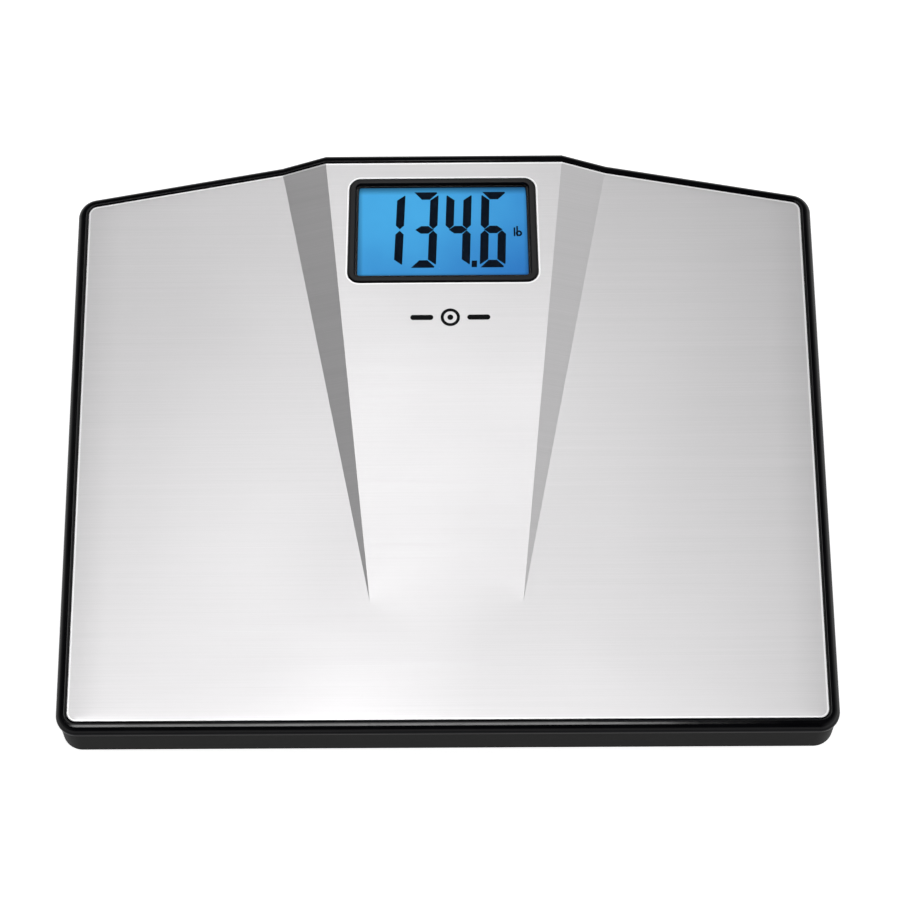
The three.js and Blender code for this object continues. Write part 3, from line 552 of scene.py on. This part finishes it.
def cross_pin(low_x, high_x, y, z, radius, sides=40):
    """A pin along X."""
    ring = circle(radius, (0, 0), sides)
    return Solid().loft([[Vector((x, y + p.x, z + p.y)) for p in ring] for x in (low_x, high_x)]).mesh()


# ---- The platform's outline and height ----
def outward(before, after):
    along = (after - before).normalized()
    return Vector((along.y, -along.x))


HALF_OUTLINE = (
    (Vector((HALF_WIDTH, FRONT_Y)), CORNER_RADIUS),
    (Vector((HALF_WIDTH, REAR_CORNER_Y)), CORNER_RADIUS),
    (OUTER_FOLD_END, 0),
    (INNER_FOLD_END, 0),
)
OUTLINE_CORNERS = HALF_OUTLINE + tuple((Vector((-p.x, p.y)), r) for p, r in reversed(HALF_OUTLINE))


def outline(offset, extra_radius=0):
    """The platform's plan outline moved outwards, anticlockwise, always with the same number of points."""
    count = len(OUTLINE_CORNERS)
    loop = []
    for i, (place, radius) in enumerate(OUTLINE_CORNERS):
        before = outward(OUTLINE_CORNERS[i - 1][0], place)
        after = outward(place, OUTLINE_CORNERS[(i + 1) % count][0])
        mitre = (before + after) / (1 + before.dot(after))
        if radius == 0:
            loop.append(place + mitre * offset)
            continue
        total = radius + extra_radius
        centre = place - mitre * total
        start = math.atan2(before.y, before.x)
        sweep = (math.atan2(after.y, after.x) - start) % (2 * math.pi)
        loop += arc(centre, total + offset, start, sweep, CORNER_STEPS)
    return loop


def fold_x(end, y):
    share = max(0, (y - FOLD_TIP.y) / (end.y - FOLD_TIP.y))
    return FOLD_TIP.x + (end.x - FOLD_TIP.x) * share


def plate_top(x, y):
    """The platform's height: flat sides, a facet, and a middle panel whose crease is soft in the middle."""
    inner, outer = fold_x(INNER_FOLD_END, y), fold_x(OUTER_FOLD_END, y)
    share = min(1, max(0, (outer - abs(x)) / max(outer - inner, 1e-6)))
    run = y - FOLD_TIP.y
    rise = max(0, run)
    blend = CREASE_BLEND * max(0, 1 - (x / inner) ** 2)
    if abs(run) < blend:
        rise = (run + blend) ** 2 / (4 * blend)
        share = 1
    side_fall = SIDE_FALL * max(abs(x) - SIDE_FALL_START, 0) ** 2
    return PLATE_TOP + RISE_SLOPE * rise * share - side_fall


def on_plate(loop, drop=0.0):
    return [Vector((p.x, p.y, plate_top(p.x, p.y) - drop)) for p in loop]


# ---- Platform plate ----
def inside(point, loop):
    hit = False
    for i, a in enumerate(loop):
        b = loop[i - 1]
        if (a.y > point.y) != (b.y > point.y):
            if point.x < (b.x - a.x) * (point.y - a.y) / (b.y - a.y) + a.x:
                hit = not hit
    return hit


def plate_face(solid, outer, hole, drop):
    """Triangulates the plate between its outline and its display cut-out.

    The folds are edges. There are rows of points where the crease and the sides curve.
    """
    points, edges = [], []

    def chain(loop, closed=True):
        start = len(points)
        points.extend(loop)
        last = len(loop) if closed else len(loop) - 1
        edges.extend((start + i, start + (i + 1) % len(loop)) for i in range(last))

    chain(outer)
    chain(hole)
    rows, crease_rows, crease_steps, column_gap = 90, 14, 24, 2
    for side in (-1, 1):
        for end in (OUTER_FOLD_END, INNER_FOLD_END):
            corner = min(outer, key=lambda p: (p - Vector((side * end.x, end.y))).length)
            ys = (FOLD_TIP.y + (corner.y - FOLD_TIP.y) * i / rows for i in range(rows))
            chain([*(Vector((side * fold_x(end, y), y)) for y in ys), corner], closed=False)
    for i in range(-crease_rows, crease_rows + 1):
        y = FOLD_TIP.y + CREASE_BLEND * i / crease_rows
        reach = 0.995 * (FOLD_TIP.x if y < FOLD_TIP.y else fold_x(INNER_FOLD_END, y))
        xs = (reach * (2 * k / crease_steps - 1) for k in range(crease_steps + 1))
        chain([Vector((x, y)) for x in xs], closed=False)
    margin = outline(-column_gap)
    for side in (-1, 1):
        for x in range(SIDE_FALL_START, int(HALF_WIDTH) - column_gap, column_gap):
            column = (Vector((side * x, FRONT_Y + (REAR_Y - FRONT_Y) * i / rows)) for i in range(rows))
            chain([point for point in column if inside(point, margin)], closed=False)
    verts, _, faces, *_ = delaunay_2d_cdt(points, edges, [], 0, 1e-4)
    start = len(solid.verts)
    solid.verts.extend(on_plate(verts, drop))
    for face in faces:
        centre = sum((verts[i] for i in face), Vector((0, 0))) / len(face)
        if inside(centre, outer) and not inside(centre, hole):
            solid.faces.append(tuple(start + i for i in face))
            solid.looks.append(0)


def display_taper(point):
    """The display narrows a little towards the rear, and stands slightly left of the middle."""
    along = (point.y - DISPLAY_Y) / BEZEL_SIZE[1] + 0.5
    return Vector((point.x * (DISPLAY_WIDENING - DISPLAY_NARROWING * along) + DISPLAY_SHIFT, *point[1:]))


def cutout_loop(grow):
    size = [side + 2 * (CUTOUT_GAP + grow) for side in BEZEL_SIZE]
    loop = rounded_loop(size, BEZEL_CORNER + CUTOUT_GAP + grow, 12, (0, DISPLAY_Y))
    return [display_taper(point) for point in loop]


def make_plate():
    """The pressed sheet, with a rolled border that catches the light, in a lighter copy of its steel that
    paints a highlight along the edge.
    """
    solid = Solid()
    roll = ((-1, 0), (-0.25, 0), (-0.12, 0.03), (-0.04, 0.1), (0, 0.22), (0, PLATE_THICKNESS))
    for place in (outline, lambda offset: cutout_loop(-offset)):
        rings = [solid.add_loop(on_plate(place(offset), drop)) for offset, drop in roll]
        for first, second in zip(rings, rings[1:]):
            solid.bridge(first, second, 1)
    inset = roll[0][0]
    plate_face(solid, outline(inset), cutout_loop(-inset), 0)
    plate_face(solid, outline(0), cutout_loop(0), PLATE_THICKNESS)
    link_mesh(
        "platform_plate_sheet", solid.mesh(PLATE_WELD), "brushed_steel_plate", ["platform_plate"],
        looks=[LOOKS["brushed_steel_plate"], EDGE_HIGHLIGHT_LOOK], smooth_angle=3.5,
    )


def printed(name, shapes, place, thickness, look):
    """Thin raised print: each shape is an outer loop, or a ring between an outer and an inner loop."""
    meshes = []
    for outer, inner in shapes:
        heights = (0, thickness)
        loops = [[place(p, z) for p in outer] for z in heights]
        if inner:
            loops += [[place(p, z) for p in inner] for z in reversed(heights)]
        meshes.append(Solid().loft(loops, closed=bool(inner)).mesh())
    link_mesh(name, merged(meshes), looks=[look])


def make_ornament():
    """A plain mark below the display: a bar, a ring round a dot, and a bar."""
    middle = Vector((3, 66.8))
    bars = [rounded_loop((12.4, 3), 1.5, 6, middle + Vector((side * 15.3, 0))) for side in (-1, 1)]
    shapes = [(bar, None) for bar in bars]
    shapes.append((circle(5.2, middle, 48), circle(3.5, middle, 48)))
    shapes.append((circle(1.6, middle, 32), None))

    def on_top(point, lift):
        return Vector((point.x, point.y, plate_top(point.x, point.y) + lift))

    printed("platform_ornament", shapes, on_top, 0.05, PRINT_LOOK)


# ---- Upper shell ----
def rear_fall(y, offset):
    """The rim slopes down outwards a little more along the rear edge."""
    share = min(max((y - REAR_CORNER_Y + CORNER_RADIUS) / REAR_RIM_BLEND, 0), 1)
    return REAR_RIM_SLOPE * share * max(offset - REAR_RIM_START, 0)


def rim_loops():
    """Loops round the rim's section, each point given by its offset from the plate and its drop below it."""
    edge_tops = [plate_top(p.x, p.y) for p in outline(0)]

    def below(offset, drop):
        return [
            Vector((p.x, p.y, top - drop - rear_fall(p.y, offset)))
            for p, top in zip(outline(offset), edge_tops)
        ]

    groove = ((0.2, 1.0), (0.25, 0.8), (0.85, 0.42), (1.15, 0.22), (1.4, 0.15))
    bevel = ((1.65, 0.152), (1.9, 0.162), (2.2, 0.178), (2.5, 0.194))
    start, start_drop, shoulder_drop, underside = 2.7, 0.205, 4.4, 3.2
    reach, depth, fullness = RIM_WIDTH - start, shoulder_drop - start_drop, 2.2
    shares = [math.sin(math.radians(a)) for a in range(5, 91, 5)]
    shoulder = [
        (start + reach * share, start_drop + depth * (1 - (1 - share ** fullness) ** (1 / fullness)))
        for share in shares
    ]
    inner = RIM_WIDTH - 2.2
    skirt = ((RIM_WIDTH, 0.7), (RIM_WIDTH - 0.12, 0.4), (RIM_WIDTH - 0.4, 0.2), (inner, 0.2))
    return [
        *[below(offset, drop) for offset, drop in (*groove, *bevel, *shoulder)],
        *[at(outline(offset), PARTING_Z + lift) for offset, lift in skirt],
        below(inner, underside), below(-2, underside), below(-2, 1.0),
    ]


def make_upper_shell():
    """A finely rounded rim, with the deck, ribs and bosses inside it."""
    rim = Solid().loft(rim_loops(), closed=True).mesh()
    core = skinned(lambda grow: outline(-0.6), [(0, 0), (0, ABOVE_ALL)])
    inside_parts = carved(cad_mesh("platform_frame"), [core], "INTERSECT")
    link_mesh("upper_shell", merged([rim, inside_parts]), "gloss_black", ["platform_frame"])


# ---- Base cover ----
def base_shell():
    """The casing's tray: a wall with rounded edges, a lip inside the rim, and a floor."""
    foot, edge, steps = RIM_WIDTH - 1.2, 1.2, 6
    top, inner = RIM_WIDTH - 0.9, RIM_WIDTH - 3.1
    lip_outer, lip_inner, lip_foot = RIM_WIDTH - 2.5, RIM_WIDTH - 3.7, 20
    wall = rounded_wall(BASE_BOTTOM, PARTING_Z, edge, 0, steps)
    fillet = [(foot + grow, z) for grow, z in wall[:steps + 1]]  # the wall's lower edge
    levels = [
        *fillet, (top, PARTING_Z - 0.5), (top - 0.12, PARTING_Z - 0.15), (top - 0.45, PARTING_Z),
        (lip_outer, PARTING_Z), (lip_outer, PARTING_Z + 1.4), (lip_outer - 0.2, PARTING_Z + 1.6),
        (lip_inner + 0.2, PARTING_Z + 1.6), (lip_inner, PARTING_Z + 1.4), (lip_inner, lip_foot),
        (inner, lip_foot - 0.6), (inner, FLOOR_TOP + 0.6), (inner - 0.6, FLOOR_TOP),
    ]
    return Solid().loft([at(outline(offset, BASE_CORNER_EXTRA), z) for offset, z in levels]).mesh()


def base_cutters():
    """Everything that opens in the underside: wells, screws, battery bay, switch, and moulded marks."""
    cutters = [
        skinned(circle_section(FOOT_WELL_RADIUS, place), flared_wall(ABOVE_ALL, 0.6))
        for place in FOOT_PLACES.values()
    ]
    for place in SCREW_PLACES:
        cutters.append(skinned(circle_section(SCREW_WELL_RADIUS, place, 40), flared_wall(13, 0.35)))
        cutters.append(skinned(circle_section(SCREW_HOLE_RADIUS, place, 24), [(0, 0), (0, ABOVE_ALL)]))
    bay, pin_reach = (0, BAY_Y), DOOR_SIZE[0] / 2 + 2.2
    doorway_size = [side + DOOR_GAP for side in DOOR_SIZE]
    doorway = skinned(rectangle_section(doorway_size, 1.2, bay), flared_wall(6.3, 0.4))
    battery_bay = skinned(rectangle_section(BATTERY_BAY_SIZE, 0.8, bay), [(0, 0), (0, 18.6)])
    pin_holes = cross_pin(-pin_reach, pin_reach, HINGE.y, HINGE.z, PIN_HOLE_RADIUS)
    finger_notch = skinned(rectangle_section((18, 6), 2.6, (0, 8.5)), flared_wall(5.2, 0.7))
    switch_recess = skinned(rectangle_section((20, 11), 3, SWITCH_PLACE), flared_wall(4.9, 0.35))
    switch_slot = skinned(rectangle_section((8.6, 4.2), 0.5, SWITCH_PLACE), [(0, 0), (0, 10)])
    label_recess = skinned(rectangle_section((72, 30), 3, (-94, -44)), flared_wall(4.3, 0.2))
    cutters += [doorway, battery_bay, pin_holes, finger_notch, switch_recess, switch_slot, label_recess]
    for i in range(6):
        cutters.append(skinned(rectangle_section((64, 1.6), 0.8, (94, -59 + 6 * i)), flared_wall(4.5, 0.25)))
    groove = ((-3.2, -1), (-3.35, 0.5), (-4.25, 0.5), (-4.4, -1))
    loops = [at(outline(offset, BASE_CORNER_EXTRA), BASE_BOTTOM + lift) for offset, lift in groove]
    cutters.append(Solid().loft(loops, closed=True).mesh())
    return cutters


def make_base():
    core = skinned(lambda grow: outline(RIM_WIDTH - 3.4, BASE_CORNER_EXTRA), [(0, 5), (0, ABOVE_ALL)])
    inside_parts = carved(cad_mesh("base_cover"), [core], "INTERSECT")
    whole = carved(base_shell(), [inside_parts], "UNION")
    link_mesh("base_cover_shell", carved(whole, base_cutters()), "dark_plastic", ["base_cover"])


# ---- Display ----
def place_display(mesh):
    mesh.transform(DISPLAY_MATRIX)
    for vert in mesh.vertices:
        vert.co = display_taper(vert.co)
    return mesh


def make_bezel():
    """A satin ring with a rounded outer edge, a ledge for the window, and a skirt through the plate."""
    turn = [math.radians(a) for a in range(0, 91, 15)]
    outer = rectangle_section(BEZEL_SIZE, BEZEL_CORNER)
    rounding = [
        at(outer(-BEZEL_EDGE * (1 - math.cos(a))), BEZEL_TOP - BEZEL_EDGE * (1 - math.sin(a)))
        for a in turn
    ]
    opening = rectangle_section(BEZEL_OPENING, 2.6)
    window = rectangle_section(WINDOW_SIZE, 1.2)
    skirt = rectangle_section(SKIRT_SIZE, 4.5)
    loops = [
        at(outer(0), SKIRT_TOP), *rounding,
        at(opening(0.5), BEZEL_TOP), at(opening(0.15), 0.85), at(opening(0), 0.5),
        at(opening(0), BEZEL_LEDGE), at(window(0.2), BEZEL_LEDGE), at(window(0), BEZEL_LEDGE - 0.2),
        at(window(0), BEZEL_FOOT), at(skirt(0), BEZEL_FOOT), at(skirt(0), SKIRT_TOP),
    ]
    ring = place_display(Solid().loft(loops, closed=True).mesh())
    link_mesh("display_bezel_ring", ring, "gloss_black", ["display_bezel"], looks=[BEZEL_LOOK])


def make_lens():
    lens = skinned(rectangle_section(LENS_SIZE, 2.3), rounded_wall(-0.85, 0.15, 0.1, 0.25))
    link_mesh("display_window", place_display(lens), "clear_lens", ["display_lens"])


def make_lcd():
    """The glass, with its lit face standing up inside the bezel."""
    face_levels = [(0, -5.2), (0, LCD_FACE_TOP - 0.1), (-0.1, LCD_FACE_TOP)]
    glass = skinned(rectangle_section(LCD_GLASS_SIZE, 0.4), rounded_wall(-6.4, -4.2, 0.15, 0.15))
    face = skinned(rectangle_section(LCD_FACE_SIZE, 1), face_levels)
    link_mesh("lcd_glass_panel", place_display(carved(glass, [face], "UNION")), "lcd_glass", ["lcd_panel"])


DIGIT_WIDTH, DIGIT_HEIGHT, STROKE = 13.9, 45.6, 4.5
SEGMENT_GAP = 0.45
SEGMENTS = {"1": "bc", "3": "abgcd", "4": "fgbc", "6": "afgedc"}
DIGIT_PLACES = (("1", -21.25), ("3", -2.95), ("4", 15.35), ("6", 34.6))  # each digit's right edge


def segment_shapes():
    """The seven segments of one digit, its lower left corner at the origin."""
    w, h, t, g = DIGIT_WIDTH, DIGIT_HEIGHT, STROKE, SEGMENT_GAP
    middle = h / 2
    tip, blunt, reach = 1.9, 0.7, 1.9
    top = [
        (g, h), (w - g - blunt, h), (w - g - blunt / 2, h - blunt),
        (w - t - g / 2, h - t), (t + g / 2, h - t),
    ]
    right = [
        (w - 0.3, h - tip), (w - t, h - t - g), (w - t, middle + t / 2 + g),
        (w - t / 2, middle + g), (w, middle + t / 2 + g), (w, h - tip - 0.5),
    ]
    bar = [
        (reach, middle), (t + g, middle + t / 2), (w - t - g, middle + t / 2),
        (w - reach, middle), (w - t - g, middle - t / 2), (t + g, middle - t / 2),
    ]

    def mirrored(shape):
        return [(w - x, y) for x, y in shape]

    def flipped(shape):
        return [(x, h - y) for x, y in shape]

    return {
        "a": top, "b": right, "c": flipped(right), "d": flipped(top),
        "e": flipped(mirrored(right)), "f": mirrored(right), "g": bar,
    }


def make_digits():
    """The reading, and a small unit mark, as thin dark shapes on the glass."""
    slant = math.tan(math.radians(2.2))
    digit_bottom = -22.1
    shapes = []

    def add(points, x, y):
        shapes.append(([Vector((x + px + (py + y) * slant, y + py)) for px, py in points], None))

    segments = segment_shapes()
    for digit, right_edge in DIGIT_PLACES:
        for name in SEGMENTS[digit]:
            add(segments[name], right_edge - DIGIT_WIDTH, digit_bottom)
    add([(0, 0), (2.9, 0), (2.9, 3.9), (0, 3.9)], 16.3, digit_bottom + 0.2)
    for x, height in ((39.2, 5.4), (40.7, 6.2)):
        shapes.append((rounded_loop((0.9, height), 0.4, 4, (x, height / 2 - 3.5)), None))
    shapes.append((circle(1.75, (41.6, -1.75), 24), circle(0.75, (41.6, -1.75), 24)))

    def on_glass(point, lift):
        return display_taper(DISPLAY_MATRIX @ Vector((point.x, point.y, LCD_FACE_TOP + lift)))

    printed("display_digits", shapes, on_glass, 0.1, INK_LOOK)


# ---- Feet ----
def make_feet():
    """Each foot's cup, and its rubber pad with four grip rings, as (radius, height) profiles."""
    cup_profile = [
        (17.6, 2.0), (18.3, 2.0), (18.3, 1.5), (18.5, 1.25), (18.9, 1.2), (19.7, 1.2), (20.2, 1.35),
        (20.45, 1.7), (20.5, 2.1), (20.5, 6.0), (20.35, 6.5), (20.0, 6.95), (19.3, 7.2), (9.2, 7.2),
        (8.3, 7.4), (6.2, 9.4), (6.0, 9.8), (6.0, 14.4), (5.7, 14.7),
    ]
    pad_profile = [(16.9, 0.08), (17.3, 0.14), (17.75, 0.4), (18, 0.8), (18, 1.95)]
    rings = [(14.6, 13.4), (11.8, 10.6), (9, 7.8), (6.2, 5)]
    treads = [(16.4, 0)]
    for outer, inner in rings:
        treads += [
            (outer + 0.12, 0), (outer, 0.12), (outer - 0.1, 0.45),
            (inner + 0.1, 0.45), (inner, 0.12), (inner - 0.12, 0),
        ]
    for corner, place in FOOT_PLACES.items():
        body = f"foot_{corner}"
        cup, pad = turned(cup_profile, place), turned([*reversed(treads), *pad_profile], place)
        link_mesh(f"{body}_housing", cup, "dark_plastic", [f"foot_cup_{corner}"], body)
        link_mesh(f"{body}_tread", pad, "rubber_black", [f"foot_pad_{corner}"], body)


# ---- Battery bay ----
def make_battery_door():
    """A panel on a pinned hinge, with latch slots, grip lines, an arrow and a frame line in its underside."""
    low, high = DOOR_BOTTOM, HINGE.z + HINGE_RADIUS
    half_width, pin_reach = DOOR_SIZE[0] / 2, DOOR_SIZE[0] / 2 + 1.9
    front, rear = BAY_Y - DOOR_SIZE[1] / 2, HINGE.y
    section = rectangle_section((DOOR_SIZE[0], rear - front), 0.9, (0, (front + rear) / 2))
    panel = skinned(section, rounded_wall(low, high, 0.3, 0.2))
    barrel = cross_pin(-half_width, half_width, HINGE.y, HINGE.z, HINGE_RADIUS)
    pins = cross_pin(-pin_reach, pin_reach, HINGE.y, HINGE.z, PIN_RADIUS)
    whole = carved(panel, [barrel, pins], "UNION")
    slots = [
        skinned(rectangle_section((1, 14), 0.45, (side * 7.5, front)), [(0, 0), (0, 20)])
        for side in (-1, 1)
    ]
    grip_levels = flared_wall(low + 0.6, 0.15, low)
    grips = [
        skinned(rectangle_section((11, 0.9), 0.4, (0, front + 1.6 + 1.7 * i)), grip_levels)
        for i in range(4)
    ]
    mark_top = low + 0.35
    arrow = [Vector(corner) for corner in ((-5, 24), (0, 19.5), (5, 24), (5, 25.4), (0, 21), (-5, 25.4))]
    mark = Solid().loft([at(arrow, z) for z in (low - 1, mark_top)]).mesh()
    frame_loops = [
        at(rounded_loop((54 - 2 * inset, 30 - 2 * inset), 2.5 - inset, 8, (0, BAY_Y)), z)
        for inset, z in ((0, low - 1), (0.1, mark_top), (0.8, mark_top), (0.9, low - 1))
    ]
    border = Solid().loft(frame_loops, closed=True).mesh()
    door = carved(whole, [*slots, *grips, mark, border])
    link_mesh("battery_door_panel", door, "dark_plastic", ["battery_door"], "battery_door")


def make_batteries():
    """Sleeved cells with bright ends, and wound springs, in the nodes' own places."""
    for i in range(BATTERY_COUNT):
        low, high = box_of(f"battery_{i + 1}")
        y, z = (low.y + high.y) / 2, (low.z + high.z) / 2
        facing = 1 if i % 2 == 0 else -1
        start = low.x if facing == 1 else high.x
        radius = (high.z - low.z) / 2
        length = high.x - low.x
        profile = [
            (radius - 0.9, 0), (radius - 0.75, 0.05), (radius - 0.7, 0.25), (radius - 0.25, 0.3),
            (radius, 0.6), (radius, length - 2.2), (radius - 0.15, length - 1.75),
            (radius - 0.8, length - 1.45), (radius - 0.9, length - 1.15), (2.1, length - 1.05),
            (1.85, length - 0.85), (1.85, length - 0.2), (1.6, length),
        ]
        bands = [1, 1, 0, 0, 0, 0, 0, 1, 1, 1, 1, 1]  # the sleeve is look 0, and the bare steel is look 1
        loops = [
            [Vector((start + facing * run, y + p.x, z + p.y)) for p in circle(r, sides=56)]
            for r, run in profile
        ]
        link_mesh(
            f"battery_cell_{i + 1}", Solid().loft(loops, looks=bands).mesh(), "battery_jacket",
            [f"battery_{i + 1}"], looks=[LOOKS["battery_jacket"], LOOKS["steel_bright"]],
        )
        low, high = box_of(f"contact_spring_{i + 1}")
        coil_start, coil_end = (low.x, high.x) if facing == 1 else (high.x, low.x)
        make_coil(f"battery_spring_{i + 1}", coil_start, coil_end, (y, z), [f"contact_spring_{i + 1}"])


def make_coil(name, start, end, middle, stands_for):
    """A conical wire spring along X."""
    turns, steps, sides, wire, wide, narrow = 3.5, 150, 10, 0.33, 3.55, 2.0
    loops = []
    direction = 1 if end > start else -1
    run = end - start - 2 * wire * direction
    for i in range(steps + 1):
        share = i / steps
        angle = 2 * math.pi * turns * share
        radius = wide + (narrow - wide) * share
        out = Vector((0, math.cos(angle), math.sin(angle)))
        rise = min(1, max(0, share * 1.2 - 0.1))
        centre = Vector((start + wire * direction + run * rise, *middle)) + out * radius
        turn = (2 * math.pi * k / sides for k in range(sides))
        loops.append([centre + wire * (math.cos(a) * out + math.sin(a) * Vector((1, 0, 0))) for a in turn])
    link_mesh(name, Solid().loft(loops).mesh(), "steel_bright", stands_for)


# ---- Unit switch and case screws ----
def make_switch():
    """The slider's grooved knob, on the carriage that keeps it in its slot."""
    x = (SLIDER_LOW.x + SLIDER_HIGH.x) / 2
    place = (x, SWITCH_PLACE[1])
    knob = skinned(rectangle_section((4, 3.6), 0.5, place), rounded_wall(SLIDER_LOW.z, 7.2, 0.25, 0))
    carriage = skinned(rectangle_section((8, 6), 0.5, place), rounded_wall(6.5, 8.8, 0.2, 0.2))
    groove_levels = flared_wall(4.65, 0.12, SLIDER_LOW.z)
    grooves = [
        skinned(rectangle_section((0.35, 6), 0.15, (x + 0.9 * i, place[1])), groove_levels)
        for i in (-1, 0, 1)
    ]
    slider = carved(carved(knob, [carriage], "UNION"), grooves)
    link_mesh(
        "unit_switch_knob", slider, "dark_plastic", ["unit_switch_slider"], "unit_switch",
        looks=[LOOKS["black_epoxy"]],
    )


def make_case_screws():
    """Pan-headed screws with a cross recess, as (radius, height) profiles from the head to the tip."""
    profile = [
        (1.6, 10.8), (2.3, 10.86), (2.8, 11.1), (3.1, 11.5), (3.2, 11.9), (3.2, 12.95),
        (1.5, 12.95), (1.5, 25.9), (0.3, 28.4),
    ]
    for i, (x, y) in enumerate(SCREW_PLACES):
        arms = [
            skinned(rectangle_section(size, 0.2, (x, y)), [(0.15, 9.8), (0.12, 10.8), (-0.1, 12)])
            for size in ((3.2, 0.75), (0.75, 3.2))
        ]
        screw = carved(turned(profile, (x, y), 40), arms)
        link_mesh(f"case_fastener_{i + 1}", screw, "steel_bright", [f"case_screw_{i + 1}"])


# ---- Stage ----
def make_floor():
    bm = bmesh.new()
    bmesh.ops.create_grid(bm, x_segments=1, y_segments=1, size=STUDIO_FLOOR_SIZE)
    mesh = bpy.data.meshes.new("floor")
    bm.to_mesh(mesh)
    bm.free()
    nodes = Nodes("floor")
    soft = nodes.noise(3, detail=2)
    nodes.colour(nodes.mix(nodes.span(soft, 0, 1), (0.84, 0.84, 0.84), (0.86, 0.86, 0.86)))
    nodes.fixed(Roughness=0.9, Specular_IOR_Level=0.1, Emission_Color=(1, 1, 1, 1), Emission_Strength=0.86)
    mesh.materials.append(nodes.material)
    floor = add_object("floor", mesh)
    floor.location.z = STUDIO_FLOOR_Z


def area_light(name, middle, size, radiance):
    data = bpy.data.lights.new(name, "AREA")
    data.shape = "RECTANGLE"
    data.size, data.size_y = size
    data.energy = math.pi * size[0] * size[1] * radiance
    light = bpy.data.objects.new(name, data)
    light.location = (*middle, LIGHT_HEIGHT)
    bpy.context.scene.collection.objects.link(light)


def make_world():
    """A dark ceiling, a pale horizon, and pale walls at the left and the right, the right one brighter."""
    world = bpy.data.worlds.new("studio")
    world.use_nodes = True
    tree = world.node_tree
    background = tree.nodes["Background"]
    background.inputs["Color"].default_value = (1, 1, 1, 1)
    coordinates = tree.nodes.new("ShaderNodeTexCoord")
    split = tree.nodes.new("ShaderNodeSeparateXYZ")
    tree.links.new(coordinates.outputs["Generated"], split.inputs["Vector"])
    total = background.inputs["Strength"]
    for axis, dark, pale, radiance in (("X", 0.2, 1, 1.0), ("X", -0.2, -1, 0.36), ("Z", 0.5, 0.22, 0.75)):
        wall = tree.nodes.new("ShaderNodeMapRange")
        wall.inputs["From Min"].default_value = dark
        wall.inputs["From Max"].default_value = pale
        wall.inputs["To Max"].default_value = radiance
        tree.links.new(split.outputs[axis], wall.inputs["Value"])
        addition = tree.nodes.new("ShaderNodeMath")
        addition.operation = "ADD"
        addition.inputs[1].default_value = 0
        tree.links.new(wall.outputs["Result"], addition.inputs[0])
        tree.links.new(addition.outputs["Value"], total)
        total = addition.inputs[1]
    bpy.context.scene.world = world


def make_lights():
    """Softboxes overhead, each given by its middle, its size and its radiance."""
    make_world()
    for name, middle, size, radiance in (
        ("softbox_front", (-0.15, 0.34), (0.8, 0.13), 10.0),
        ("softbox_middle", (0, 0.65), (0.36, 0.34), 4.9),
        ("softbox_rear", (0, 1.26), (0.36, 0.88), 3.1),
        ("softbox_left", (-0.36, 1.09), (0.36, 1.22), 1.4),
    ):
        area_light(name, middle, size, radiance)
    bpy.context.scene.view_settings.view_transform = "Standard"


paint_cad_nodes()
make_plate()
make_ornament()
make_upper_shell()
make_base()
make_bezel()
make_lens()
make_lcd()
make_digits()
make_feet()
make_battery_door()
make_batteries()
make_switch()
make_case_screws()
make_floor()
make_lights()
